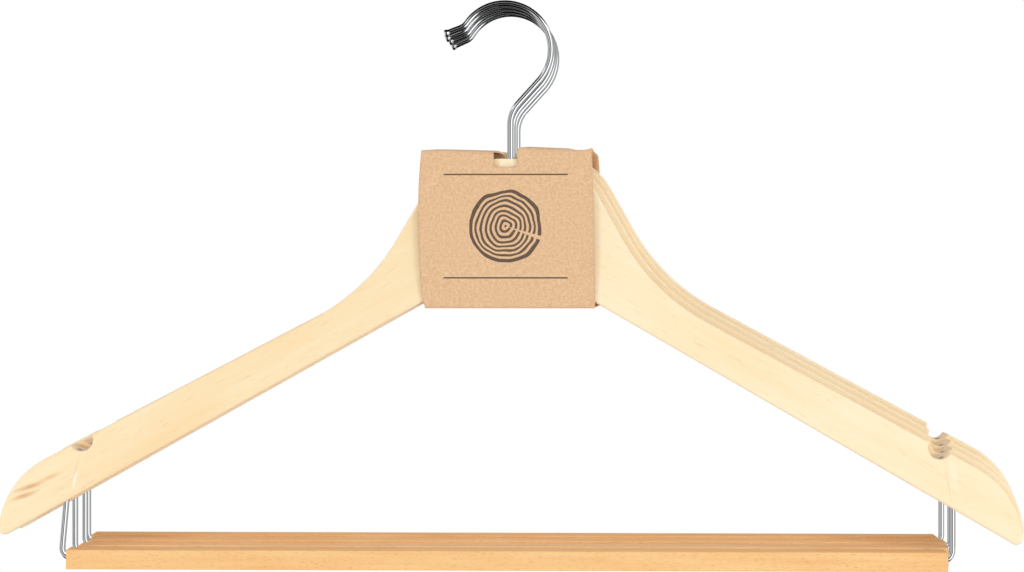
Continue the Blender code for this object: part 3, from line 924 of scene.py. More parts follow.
@dataclass(frozen=True)
class Boards(PackPieces):
    """The two boards of a hanger, drawn from the flat crown over the shoulder to the tip and back below."""

    width: float = 0.447
    crown_half_width: float = 0.0107
    crown_radius: float = 0.032
    neck_slope_deg: float = 60.3
    neck_run: float = 0.0215
    hollow_radius: float = 0.0915
    shoulder_slope_deg: float = 28.0
    tip_slope_deg: float = 85.0
    tip_radius: float = 0.038
    tip_corner_radius: float = 0.0028
    underside_slope_deg: float = 29.6
    underside_radius: float = 0.045
    finger_count: int = 5
    finger_length: float = 0.010
    finger_gap: float = 0.00005
    corner_cut: float = 0.0003
    notch_from_tip: float = 0.0363
    notch_radius: float = 0.0051
    notch_lip_radius: float = 0.0007
    edge_radius: float = 0.0010
    notch_edge_radius: float = 0.00055
    notch_edge_reach: float = 0.004
    joint_edge_radius: float = 0.00004
    joint_edge_reach: float = 0.002
    edge_steps: int = 5
    counterbore_depth: float = 0.0060
    counterbore_radius: float = 0.0044
    counterbore_run: float = 0.010
    shank_bore_radius: float = 0.0017
    wire_bore_radius: float = 0.00155
    bore_sides: int = 32

    def to_shoulder(self) -> Pen:
        """Draw from the end of the flat crown to the start of the straight shoulder.

        Returns:
            The pen.
        """
        pen = Pen((self.crown_half_width, 0.0), 0.0)
        pen.bend(-self.neck_slope_deg, self.crown_radius).run(self.neck_run, 6)
        return pen.bend(self.neck_slope_deg - self.shoulder_slope_deg, self.hollow_radius, 18)

    def shoulder_run(self) -> float:
        """Length of the straight shoulder that brings the tip to half the hanger's width.

        Returns:
            The length along the slope.
        """
        shoulder = math.sin(math.radians(self.shoulder_slope_deg))
        tip = math.sin(math.radians(self.tip_slope_deg))
        tip_reach = self.tip_radius * (tip - shoulder) + self.tip_corner_radius * (1 - tip)
        left = self.width / 2 - tip_reach - float(self.to_shoulder().end[0])
        return left / math.cos(math.radians(self.shoulder_slope_deg))

    def notch_centre(self) -> np.ndarray:
        """Middle of the shoulder notch, on the line of the straight shoulder.

        Returns:
            X and Z from the middle of the crown.
        """
        start = self.to_shoulder().end
        reach = self.width / 2 - self.notch_from_tip
        drop = (reach - start[0]) * math.tan(math.radians(self.shoulder_slope_deg))
        return np.array([reach, start[1] - drop])

    def to_underside(self) -> Pen:
        """Draw the top edge with its notch and the tip, up to the start of the straight underside.

        Returns:
            The pen.
        """
        pen = self.to_shoulder()
        before = float(np.linalg.norm(self.notch_centre() - pen.end))
        lip = self.notch_lip_radius
        opening = math.sqrt((self.notch_radius + lip) ** 2 - lip ** 2)
        lip_angle = math.degrees(math.asin(lip / (self.notch_radius + lip)))
        after = self.shoulder_run() - before - opening
        pen.run(before - opening, 40)
        pen.bend(lip_angle - 90, lip, 5).bend(180 - 2 * lip_angle, self.notch_radius, 30)
        pen.bend(lip_angle - 90, lip, 5).run(after, 4)
        pen.bend(self.shoulder_slope_deg - self.tip_slope_deg, self.tip_radius, 30)
        return pen.bend(self.tip_slope_deg - self.underside_slope_deg - 180, self.tip_corner_radius, 16)

    def underside_height(self, reach: float) -> float:
        """Height of the underside, from the crown's top.

        Args:
            reach: the distance from the middle.

        Returns:
            The height, which is negative.
        """
        slope = math.radians(self.underside_slope_deg)
        start = self.to_underside().end
        round_start = self.underside_radius * math.sin(slope)
        if reach >= round_start:
            return float(start[1] + (start[0] - reach) * math.tan(slope))
        tangent = start[1] + (start[0] - round_start) * math.tan(slope)
        centre = tangent - self.underside_radius * math.cos(slope)
        return float(centre + math.sqrt(self.underside_radius ** 2 - reach ** 2))

    def outline(self, first_finger: int) -> np.ndarray:
        """Draw one whole board with its half of the finger joint.

        The fingers take every other cell of the joint's height, starting with cell first_finger.

        Args:
            first_finger: 0 or 1.

        Returns:
            Rows of X outwards and Z up, clockwise.
        """
        root = (self.finger_length + self.finger_gap) / 2
        tip = self.finger_gap / 2 - self.finger_length / 2
        cell = -self.underside_height(0.0) / self.finger_count
        index = np.arange(self.finger_count)
        reach = np.where(index % 2 == first_finger, tip, root)

        pen = self.to_underside()
        slope = math.radians(self.underside_slope_deg)
        pen.run((pen.end[0] - self.underside_radius * math.sin(slope)) / math.cos(slope), 40)
        stop = math.asin(reach[-1] / self.underside_radius)
        pen.bend(math.degrees(slope - stop), self.underside_radius, 14)
        inner = index[:0:-1]
        step = np.where(inner % 2 == first_finger, -self.finger_gap / 2, self.finger_gap / 2) - inner * cell
        lower = np.stack((reach[inner], step), axis=-1)
        upper = np.stack((reach[inner - 1], step), axis=-1)
        fingers = np.stack((lower, upper), axis=1).reshape(-1, 2)
        crown_end = np.array([[reach[0], 0.0]])
        return soften_corners(np.concatenate((pen.points, fingers, crown_end)), self.corner_cut)

    def edge_radii(self, outline: np.ndarray) -> np.ndarray:
        """How far the long edge is rounded: less round the notch and hardly at the joint.

        Args:
            outline: the board's outline.

        Returns:
            A radius for each point.
        """
        near_notch = np.linalg.norm(outline - self.notch_centre(), axis=1) - self.notch_radius
        notch_share = np.clip(near_notch / self.notch_edge_reach, 0.0, 1.0)
        radius = self.notch_edge_radius + (self.edge_radius - self.notch_edge_radius) * notch_share
        from_joint = outline[:, 0] - self.finger_length * 0.6
        joint_share = np.clip(from_joint / self.joint_edge_reach, 0.0, 1.0)
        return self.joint_edge_radius + (radius - self.joint_edge_radius) * joint_share

    def board(self, index: int, side: Side) -> Piece:
        """Make one board as a slab whose long edges are quarter rounds.

        At a turn a of the quarter round the outline is drawn in by r(1 - sin a) and lies r(1 - cos a) below
        the face.

        Args:
            index: the hanger's number from the front, starting at 0.
            side: which arm.

        Returns:
            The board, with its bores.
        """
        outline = self.outline(1 if side is Side.LEFT else 0)
        normals = outline_normals(outline)
        radii = self.edge_radii(outline)
        turn = quarter_turn(self.edge_steps)
        drawn_in = np.concatenate((1 - np.sin(turn), 1 - np.sin(turn[::-1])))
        below = np.concatenate((1 - np.cos(turn), 1 - np.cos(turn[::-1])))
        face = np.repeat((-1.0, 1.0), len(turn))
        flat = outline[None] - normals[None] * (drawn_in[:, None, None] * radii[None, :, None])
        flat[..., 0] *= side.value
        depth = face[:, None] * (self.stack.board / 2 - below[:, None] * radii[None, :])
        spots = self.stack.place(index, flat)
        rings = np.stack((spots[..., 0], depth + self.stack.middle(index), spots[..., 1]), axis=-1)
        piece = capped(f"board_{side.label}_{index + 1}", rings)
        carve(piece, self.bores(index, side))
        keep_flat_faces_flat(piece)
        return piece

    def bores(self, index: int, side: Side) -> list[Piece]:
        """Make the cutters for the wire of this side, the hook's shank and its washer.

        Args:
            index: the hanger's number from the front, starting at 0.
            side: which arm.

        Returns:
            The cutters.
        """
        middle = self.stack.middle(index)
        x = self.stack.hook_shift[index]
        underside = self.stack.arm_lift[index] - self.stack.crown_drop + self.underside_height(0.0)
        seat = underside + self.counterbore_depth
        wire = np.insert(TrouserWires(self.stack, self).bore(index, side), 1, middle, axis=1)
        shank = np.array(((x, middle, underside), (x, middle, 0.0)))
        counterbore = np.array(((x, middle, underside - self.counterbore_run), (x, middle, seat)))
        cuts = (
            ("wire_cutter", wire, self.wire_bore_radius),
            ("shank_cutter", shank, self.shank_bore_radius),
            ("counterbore_cutter", counterbore, self.counterbore_radius),
        )
        return [tube(name, line, np.full(len(line), radius), self.bore_sides) for name, line, radius in cuts]

    def finish(self, index: int, side: Side) -> SatinBeech:
        """Choose the piece of beech for a board.

        Args:
            index: the hanger's number from the front, starting at 0.
            side: which arm.

        Returns:
            The finish, with the grain along the arm.
        """
        shift = (0.37 * index + 0.21 * side.value, 0.013 * index, 0.029 * index + 0.011 * side.value)
        # The brown marks are figure and hairlines in the wood; the near-white ones beside the hairlines are
        # painted highlights.
        marks = {
            Side.LEFT: (
                Mark(-0.2097, -0.2105, 0.0095, 20.0, 5.5, 0.90, "#D68D50"),
                Mark(-0.2132, -0.2146, 0.0085, 20.0, 5.5, 0.85, "#DC9558"),
                Mark(-0.2015, -0.2064, 0.0085, 25.0, 5.0, 0.60, "#E3A468"),
                Mark(-0.1898, -0.2024, 0.0100, 75.0, 40.0, 0.50, "#D3A070"),
                Mark(-0.1904, -0.2074, 0.0045, 77.0, 3.6, 0.90, "#FFFDF4"),
            ),
            Side.RIGHT: (
                Mark(0.1906, -0.2087, 0.0105, -80.0, 40.0, 0.50, "#D3A070"),
                Mark(0.1930, -0.2060, 0.0100, -80.0, 4.0, 0.35, "#FFFBEE"),
            ),
        }
        pale, honey = ("#FCE8C0", "#FADAA6") if side is Side.LEFT else ("#FFF0CD", "#FEE3B4")
        return SatinBeech(f"satin_beech_{side.label}_{index + 1}", -29.0 * side.value, shift, pale, honey,
                          marks[side] if index == 0 else ())

    def build(self) -> None:
        """Make and dress the boards of every hanger."""
        for index in range(self.stack.count):
            for side in Side:
                piece = self.board(index, side)
                node = f"arm_{side.label}_{index + 1}"
                fit_in(piece, "pack", "arm_wood", [node], [self.finish(index, side).material()])


# The chromed wires and hooks


@dataclass(frozen=True)
class TrouserWires(PackPieces):
    """Chromed wires, each an L from inside the bar's end up through the arm to the notch's floor.

    A wire kinks just inside the arm. The front left one stands a little aslant.
    """

    boards: Boards
    radius: float = 0.0013
    bend_radius: float = 0.0045
    bend_tuck: float = 0.0019
    in_bar: float = 0.0140
    kink_radius: float = 0.006
    kink_rise: float = 0.0035
    front_left_lean_deg: float = 5.0
    end_round: float = 0.0005
    bore_start: float = 0.3

    def lean(self, index: int, side: Side) -> float:
        """How far the wire leans inwards below the arm, in radians."""
        return math.radians(self.front_left_lean_deg) if index == 0 and side is Side.LEFT else 0.0

    def line(self, index: int, side: Side) -> tuple[np.ndarray, np.ndarray, np.ndarray]:
        """Find the corners of a wire's line in the plane of X and Z.

        Args:
            index: the hanger's number from the front, starting at 0.
            side: which arm.

        Returns:
            The end of the bend at the bar, the kink inside the arm, and the middle of the notch it ends in.
        """
        low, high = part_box(f"bar_{index + 1}")
        bar_end = high.x if side is Side.RIGHT else low.x
        lean = self.lean(index, side)
        out = self.bend_radius * math.cos(lean) - self.bend_tuck
        foot = np.array([bar_end + side.value * out,
                         (low.z + high.z) / 2 + self.bend_radius * (1 + math.sin(lean))])
        reach = side.value * (foot[0] - self.stack.arm_shift[index])
        spot = np.array([side.value * reach, self.boards.underside_height(reach)])
        height = self.stack.place(index, spot)[1] + self.kink_rise
        kink = np.array([foot[0] - side.value * math.tan(lean) * (height - foot[1]), height])
        notch = self.boards.notch_centre() * np.array([side.value, 1.0])
        return foot, kink, self.stack.place(index, notch)

    def bore(self, index: int, side: Side) -> np.ndarray:
        """Find the corners of a wire's bore: below the arm, at the kink and in the notch.

        Args:
            index: the hanger's number from the front, starting at 0.
            side: which arm.

        Returns:
            Rows of X and Z.
        """
        foot, kink, notch = self.line(index, side)
        return np.stack((kink + (foot - kink) * self.bore_start, kink, notch))

    def wire(self, index: int, side: Side) -> Piece:
        """Bend one wire, drawn outwards and upwards from its end inside the bar.

        Args:
            index: the hanger's number from the front, starting at 0.
            side: which arm.

        Returns:
            The wire.
        """
        low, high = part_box(f"bar_{index + 1}")
        _, kink, notch = self.line(index, side)
        bar_end = side.value * (high.x if side is Side.RIGHT else low.x)
        lean = self.lean(index, side)
        turn_in = math.atan2(side.value * (kink[0] - notch[0]), notch[1] - kink[1]) - lean
        kink_length = self.kink_radius * math.tan(abs(turn_in) / 2)
        pen = Pen((bar_end - self.in_bar, (low.z + high.z) / 2), 0.0)
        pen.run(self.in_bar - self.bend_tuck, 6)
        pen.bend(90.0 + math.degrees(lean), self.bend_radius, 20)
        pen.run((kink[1] - pen.end[1]) / math.cos(lean) - kink_length, 8)
        pen.bend(math.degrees(turn_in), self.kink_radius, 8)
        length = float(np.linalg.norm(notch - kink)) - kink_length - self.boards.notch_radius
        pen.run(length - self.end_round, 8)
        plain = np.full(len(pen.points), self.radius)
        radius = np.concatenate((plain, pen.dome(self.radius, self.end_round)))
        rows = np.insert(pen.points * (side.value, 1.0), 1, self.stack.middle(index), axis=1)
        return tube(f"trouser_wire_{side.label}_{index + 1}", rows, radius)

    def build(self) -> None:
        """Make and dress both wires of every hanger."""
        finish = BrightChrome("bright_chrome_wire").material()
        for index in range(self.stack.count):
            for side in Side:
                node = f"wire_{side.label}_{index + 1}"
                fit_in(self.wire(index, side), "pack", "wire_chrome", [node], [finish])


@dataclass(frozen=True)
class SwivelHooks(PackPieces):
    """Hooks bent from one chromed wire, with an upset head under the washer and a swollen tip.

    No two bows are bent quite alike.
    """

    radius: float = 0.0014
    bow_radius: float = 0.0203
    bow_offset: float = -0.0025
    bow_sweep_deg: float = 187.0
    extra_sweep_deg: tuple[float, ...] = (0.0, 1.0, 1.0, 3.2)
    extra_bow: tuple[float, ...] = (0.0, 0.0005, 0.0005, 0.0005)
    neck_slope_deg: float = 42.0
    neck_radius: float = 0.014
    tip_bend_deg: float = 34.0
    tip_radius: float = 0.006
    tip_run: float = 0.0074
    tip_swell: float = 0.00175
    swell_length: float = 0.0020
    tip_round: float = 0.0005
    head_radius: float = 0.0025
    head_height: float = 0.0016
    head_bevel: float = 0.0003
    head_step: float = 0.00005
    sides: int = 32

    def centre_line(self, index: int, head_foot: float) -> tuple[np.ndarray, np.ndarray]:
        """Draw a hook from its head to its tip.

        The rail touches the bow's inner side at height 0, over the middle of the bow.

        Args:
            index: the hanger's number from the front, starting at 0.
            head_foot: height of the underside of the head.

        Returns:
            Rows of X and Z, and the wire's radius at each.
        """
        neck = math.radians(self.neck_slope_deg)
        bow = self.bow_radius + self.extra_bow[index]
        bow_side = self.bow_offset - self.extra_bow[index] + bow * math.cos(neck)
        slant = (bow_side - self.neck_radius * (1 - math.cos(neck))) / math.sin(neck)
        bow_start = self.radius - bow - bow * math.sin(neck)
        neck_start = bow_start - slant * math.cos(neck) - self.neck_radius * math.sin(neck)

        bevel = self.head_bevel
        pen = Pen((0.0, head_foot), 90.0)
        pen.run(bevel).run(self.head_height - 2 * bevel).run(bevel).run(self.head_step)
        bevelled = self.head_radius - bevel
        head = [bevelled, self.head_radius, self.head_radius, bevelled, self.radius]
        pen.run(neck_start - pen.end[1], 30)
        pen.bend(-self.neck_slope_deg, self.neck_radius, 18).run(slant, 10)
        pen.bend(self.bow_sweep_deg + self.extra_sweep_deg[index], bow, 84)
        pen.bend(-self.tip_bend_deg, self.tip_radius, 14)
        pen.run(self.tip_run - self.swell_length, 4)
        plain = np.full(len(pen.points) - len(head), self.radius)
        # The swell is full after five of its eight steps.
        share = eased(np.arange(1, 9) / 5)
        swell = self.radius + (self.tip_swell - self.radius) * share
        pen.run(self.swell_length - self.tip_round, len(share))
        rounded = pen.dome(self.tip_swell, self.tip_round)
        return pen.points, np.concatenate((head, plain, swell, rounded))

    def build(self) -> None:
        """Make and dress the hook of every hanger."""
        finish = BrightChrome("bright_chrome_hook").material()
        for index in range(self.stack.count):
            low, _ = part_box(f"hook_{index + 1}")
            line, radius = self.centre_line(index, low.z)
            shifted = line + (self.stack.hook_shift[index], 0.0)
            rows = np.insert(shifted, 1, self.stack.middle(index), axis=1)
            piece = tube(f"swivel_hook_{index + 1}", rows, radius, self.sides)
            fit_in(piece, f"swivel_{index + 1}", "hook_chrome", [f"hook_{index + 1}"], [finish])


@dataclass(frozen=True)
class HookWashers(PackPieces):
    """The washers under the crowns, whose solids are right as they are."""

    def build(self) -> None:
        """Give the washer of every hanger its zinc."""
        finish = ZincSteel("zinc_plated_steel").material()
        for index in range(self.stack.count):
            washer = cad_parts[f"hook_washer_{index + 1}"]
            washer.data.materials.clear()
            washer.data.materials.append(finish)
            LOG.info("%s: dressed", washer.name)


# The trouser bars


@dataclass(frozen=True)
class TrouserBars(PackPieces):
    """Square hardwood bars with softened edges and a drilled hole in each end."""

    edge_radius: float = 0.0005
    edge_steps: int = 5
    hole_radius: float = 0.00155
    hole_depth: float = 0.0142
    mouth_depth: float = 0.0002
    mouth_flare: float = 1.12
    length_steps: int = 48

    def section(self, half_y: float, half_z: float, inset: np.ndarray) -> np.ndarray:
        """Rounded rectangle, drawn in evenly by each inset.

        Args:
            half_y: half the bar's depth.
            half_z: half the bar's height.
            inset: one value for each ring.

        Returns:
            Points as (ring, place on the ring, Y and Z).
        """
        turn = quarter_turn(self.edge_steps)
        quarter = np.stack((np.cos(turn), np.sin(turn)), axis=-1)
        corners = np.array([[1, 1], [-1, 1], [-1, -1], [1, -1]])
        spokes = quarter * corners[:, None]
        spokes[1::2] = spokes[1::2, ::-1].copy()
        middle = corners * (np.array([half_y, half_z]) - self.edge_radius)
        radius = self.edge_radius - inset[:, None, None, None]
        ring = middle[None, :, None, :] + spokes[None] * radius
        return ring.reshape(len(inset), -1, 2)

    def bar(self, index: int, low: np.ndarray, high: np.ndarray) -> Piece:
        """Make one bar from ring to ring along X, in through one hole and out to the other.

        Args:
            index: the hanger's number from the front, starting at 0.
            low: lowest corner of the bar.
            high: highest corner of the bar.

        Returns:
            The bar.
        """
        half = (high - low) / 2
        middle = (high + low) / 2
        turn = quarter_turn(self.edge_steps)
        # The corners keep a thousandth of their radius at the ends, so that no two points fall together.
        inset = self.edge_radius * (1 - np.sin(turn)) * 0.999
        depth = self.edge_radius * (1 - np.cos(turn))
        along = np.linspace(0.0, 1.0, self.length_steps)[1:-1]
        x_left = low[0] + depth
        x_middle = x_left[-1] + (high[0] - low[0] - 2 * self.edge_radius) * along
        x_skin = np.concatenate((x_left, x_middle, high[0] - depth[::-1]))
        insets = np.concatenate((inset, np.zeros(len(along)), inset[::-1]))
        skin = self.section(half[1], half[2], insets)
        round_about = np.arctan2(skin[0, :, 1], skin[0, :, 0])
        circle = self.hole_radius * np.stack((np.cos(round_about), np.sin(round_about)), axis=-1)
        hole_x = np.array([self.hole_depth, self.mouth_depth, 0.0])
        hole = circle[None] * np.array([1.0, 1.0, self.mouth_flare])[:, None, None]
        flat = np.concatenate((hole, skin, hole[::-1])) + middle[1:]
        x = np.concatenate((low[0] + hole_x, x_skin, high[0] - hole_x[::-1]))
        rings = np.concatenate((np.broadcast_to(x[:, None, None], (*flat.shape[:2], 1)), flat), axis=-1)
        return lofted(f"trouser_bar_{index + 1}", rings)

    def finish(self, index: int) -> OiledHardwood:
        """Choose the strip of hardwood for a bar.

        Args:
            index: the hanger's number from the front, starting at 0.

        Returns:
            The finish.
        """
        shift = (0.43 * index, 0.017 * index, 0.031 * index)
        light, dark = (("#FBCF90", "#F5BA79"), ("#FFD79E", "#F7BF84"), ("#FFD497", "#F4B777"),
                       ("#FFD090", "#F0B06C"))[index]
        knot = (-0.0395, -0.2405) if index == 3 else None
        return OiledHardwood(f"oiled_hardwood_{index + 1}", shift, light, dark, knot)

    def build(self) -> None:
        """Make and dress the bar of every hanger."""
        for index in range(self.stack.count):
            low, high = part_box(f"bar_{index + 1}")
            piece = self.bar(index, np.array(low), np.array(high))
            keep_flat_faces_flat(piece)
            fit_in(piece, "pack", "bar_wood", [f"bar_{index + 1}"], [self.finish(index).material()])


# The paper band


@dataclass(frozen=True)
class KraftBand(PackPieces):
    """The folded kraft band: front, top and bottom panels, and a back panel with a glued lap."""

    width: float = 0.0749
    shift: float = 0.0011
    skew: float = 0.0048
    board_thickness: float = 0.00045
    paper: float = 0.00038
    clearance: float = 0.0004
    lap_length: float = 0.018
    front_bow: float = 0.0015
    top_slope_deg: float = 3.6
    fold_radius: float = 0.0018
    open_fold_radius: float = 0.0160
    open_slope_deg: float = -0.5
    opening_start: float = 0.022
    opening_length: float = 0.0155
    slot_left: float = -0.0055
    slot_right: float = 0.0047
    tongue_edge: tuple[float, float] = (-0.0027, -0.0037)
    back_window: tuple[float, float] = (-0.0086, 0.0016)
    slot_drop: float = 0.0076
    slot_corner: float = 0.0010
    slot_lift: float = 0.0013
    slot_margin: float = 0.0002
    left_dip: float = 0.0008
    left_dip_width: float = 0.020
    left_dip_stop: float = 0.004
    corner_flick: float = 0.0014
    corner_flick_length: float = 0.006
    tongue_curl: float = 0.0021
    tongue_curl_length: float = 0.0034
    tongue_reach: float = 0.0016
    top_fade: float = 0.0030
    front_fade: float = 0.0006
    front_reach: float = 0.012
    edge_lean: float = 0.0004
    edge_lean_length: float = 0.004
    left_bulge: tuple[float, float, float] = (0.0004, 0.0013, 0.0020)
    left_foot: float = 0.045
    right_bulge: tuple[float, float] = (0.0013, 0.0001)
    window_run: float = 0.006
    window_depths: tuple[float, float] = (-0.0019, 0.0040)
    slot_end: float = 0.0015
    slot_depth: float = 0.0035
    columns: int = 76
    fold_steps: int = 7

    def limits(self) -> tuple[float, float, float]:
        """Measure the room for the band round the pack.

        Returns:
            Depth of the band at mid paper, the height of its top over the front panel, and of its bottom.
        """
        low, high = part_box("paper_sleeve")
        depth = self.stack.depth + 2 * self.clearance + self.board_thickness
        rise = math.tan(math.radians(self.top_slope_deg)) * (depth + self.board_thickness + TOUCH_GAP)
        top = high.z - rise - self.board_thickness / 2
        return depth, top, low.z + self.board_thickness / 2

    def section(self, back_fold: float, slope_deg: float) -> np.ndarray:
        """The folded strip in Y and Z at mid paper, from the lap under the back panel round to its end.

        Args:
            back_fold: radius of the fold between the top and the back panel.
            slope_deg: slope of the top panel, up to the back.

        Returns:
            Rows of Y and Z, always the same number of them.
        """
        depth, top, bottom = self.limits()
        fold = self.fold_radius
        steps = self.fold_steps
        rise = math.radians(slope_deg)
        lap_step = self.board_thickness + TOUCH_GAP
        middle = (top + bottom) / 2
        front_tuck = fold * math.tan((math.pi / 2 - rise) / 2)
        back_tuck = back_fold * math.tan((math.pi / 2 + rise) / 2)
        pen = Pen((depth / 2, middle + self.lap_length / 2), -90.0)
        pen.run(pen.end[1] - bottom - fold, 30)
        pen.bend(-90.0, fold, steps).run(depth - 2 * fold, 30)
        chord = top - front_tuck - bottom - fold
        lean = 2 * math.atan(2 * self.front_bow / chord)
        lean_deg = math.degrees(lean)
        pen.bend(lean_deg - 90, fold, steps)
        pen.bend(-2 * lean_deg, chord / (2 * math.sin(lean)), 64)
        pen.bend(slope_deg + lean_deg - 90, fold, steps)
        pen.run((depth / 2 + lap_step - pen.end[0]) / math.cos(rise) - back_tuck, 40)
        pen.bend(-slope_deg - 90, back_fold, 2 * steps)
        pen.run(pen.end[1] - middle + self.lap_length / 2, 34)
        return pen.points

    def sheet(self) -> np.ndarray:
        """Bend the strip over the pack.

        The place across is the strip's own, plus the slip to the right with the depth. The fold to the back
        panel opens from a tight to a wide round towards the right edge, the top panel lifts beside the slot
        and its tongue curls down, and the free edges of the front panel lean back a little and are bulged.

        Returns:
            Points as (place along the strip, place across it, axis).
        """
        tight = self.section(self.fold_radius, self.top_slope_deg)
        wide = self.section(self.open_fold_radius, self.open_slope_deg)
        depth, top, bottom = self.limits()
        across = np.linspace(-0.5, 0.5, self.columns) * self.width
        opening = eased((across - self.opening_start) / self.opening_length)[None, :, None]
        path = tight[:, None, :] * (1 - opening) + wide[:, None, :] * opening
        y = path[..., 0]
        z = path[..., 1]
        place = np.broadcast_to(across, y.shape)

        line = top + (y + depth / 2) * math.tan(math.radians(self.top_slope_deg))
        on_top = np.clip((z - line + self.top_fade) / self.top_fade, 0.0, 1.0)
        right = np.clip((place - self.slot_right) / (self.width / 2 - self.slot_right), 0.0, 1.0)
        lift = self.slot_lift * (1 - right) ** 1.5 * (place > self.slot_right - self.slot_margin)
        left_of_slot = (place - self.slot_left) / self.left_dip_width
        left_dip = -self.left_dip * np.exp(-left_of_slot ** 2) * (place < self.slot_left + self.left_dip_stop)
        to_corner = place - self.width / 2 + self.corner_flick_length
        flick = self.corner_flick * np.clip(to_corner / self.corner_flick_length, 0.0, 1.0) ** 2
        near = np.clip(1 - (y + depth / 2) / self.front_reach, 0.0, 1.0)
        flick = flick * near
        free = np.interp(y, (-depth / 2, depth / 2), self.tongue_edge)
        x = place + self.shift + self.skew * np.clip(y / depth, -0.5, 0.5)
        curl_share = np.clip((x - free + self.tongue_curl_length) / self.tongue_curl_length, 0.0, 1.0)
        curl = -self.tongue_curl * (1 - np.sqrt(1 - curl_share ** 2)) * (x < free + self.tongue_reach)
        z = z + on_top * (lift + left_dip + flick + curl)

        height = np.clip((z - bottom) / (top - bottom), 0.0, 1.0)
        in_front = np.clip(1 - (y + depth / 2) / self.front_fade, 0.0, 1.0) * np.sin(math.pi * height) ** 0.5
        from_edge = np.abs(place) - self.width / 2 + self.edge_lean_length
        edge = np.clip(from_edge / self.edge_lean_length, 0.0, 1.0)
        y = y + in_front * edge ** 2 * self.edge_lean
        near = np.clip(1 - (y + depth / 2) / self.front_reach, 0.0, 1.0)
        inset, waist, foot = self.left_bulge
        left = inset - waist * np.sin(math.pi * height ** 1.5) + foot * np.exp(-height / self.left_foot)
        flare, outset = self.right_bulge
        right = flare * (1 - height) - outset
        share = place / self.width + 0.5
        x = x + near * (left * (1 - share) + right * share)
        return np.stack((x, y, z), axis=-1)

    def slot_cutters(self) -> list[Piece]:
        """Make the cutters for the window in the front panel, the window in the back and the slot on top.

        Returns:
            The cutters.
        """
        depth, top, _ = self.limits()
        back_top = top + depth * math.tan(math.radians(self.top_slope_deg))
        slip = self.shift - self.skew / 2
        front_window = (self.slot_left + slip, self.slot_right + slip)
        corner = self.slot_corner
        drop = self.window_run + self.slot_drop - corner
        made = []
        for label, face, panel_top, (left, right) in (("front", -1, top, front_window),
                                                      ("back", 1, back_top, self.back_window)):
            pen = Pen((left, panel_top + self.window_run), -90.0)
            pen.run(drop).bend(90.0, corner, 6).run(right - left - 2 * corner).bend(90.0, corner, 6).run(drop)
            planes = [face * (depth / 2 + further) for further in self.window_depths]
            rings = np.stack([np.insert(pen.points, 1, y, axis=1) for y in planes])
            made.append(capped(f"{label}_window", rings))
        reach = np.array([-1.0, 1.0]) * (depth / 2 - self.slot_end)
        right_edge = self.slot_right + (self.shift + self.skew * reach / depth)
        plan = np.array([
            [self.tongue_edge[0], reach[0]],
            [right_edge[0], reach[0]],
            [right_edge[1], reach[1]],
            [self.tongue_edge[1], reach[1]],
        ])
        heights = (top - self.slot_depth, back_top + self.window_run)
        rings = np.stack([np.insert(plan, 2, z, axis=1) for z in heights])
        made.append(capped("top_slot", rings))
        return made

    def build(self) -> None:
        """Make the band, cut its slot and dress it, printed outside and plain inside, where a darker colour
        is painted shade.
        """
        points = self.sheet()
        rows, columns, _ = points.shape
        piece = surface("kraft_band", points.reshape(-1, 3), [grid_faces(rows, columns, wrap=False)])
        thick = piece.modifiers.new("board", "SOLIDIFY")
        thick.thickness = self.paper
        thick.offset = 0.0
        thick.use_rim = True
        piece.data.materials.append(bpy.data.materials.new("outside"))
        piece.data.materials.append(bpy.data.materials.new("inside"))
        thick.material_offset = 1
        thick.material_offset_rim = 1
        carve(piece, self.slot_cutters())
        outside = KraftBoard("printed_kraft_board", artwork=GrowthRingPrint()).material()
        # The inside is painted a darker kraft than the outside: painted shade inside the band.
        inside = KraftBoard("plain_kraft_board", light="#D9B087", dark="#C4966A").material()
        fit_in(piece, "pack", "kraft", ["paper_sleeve"], [outside, inside])


# The studio


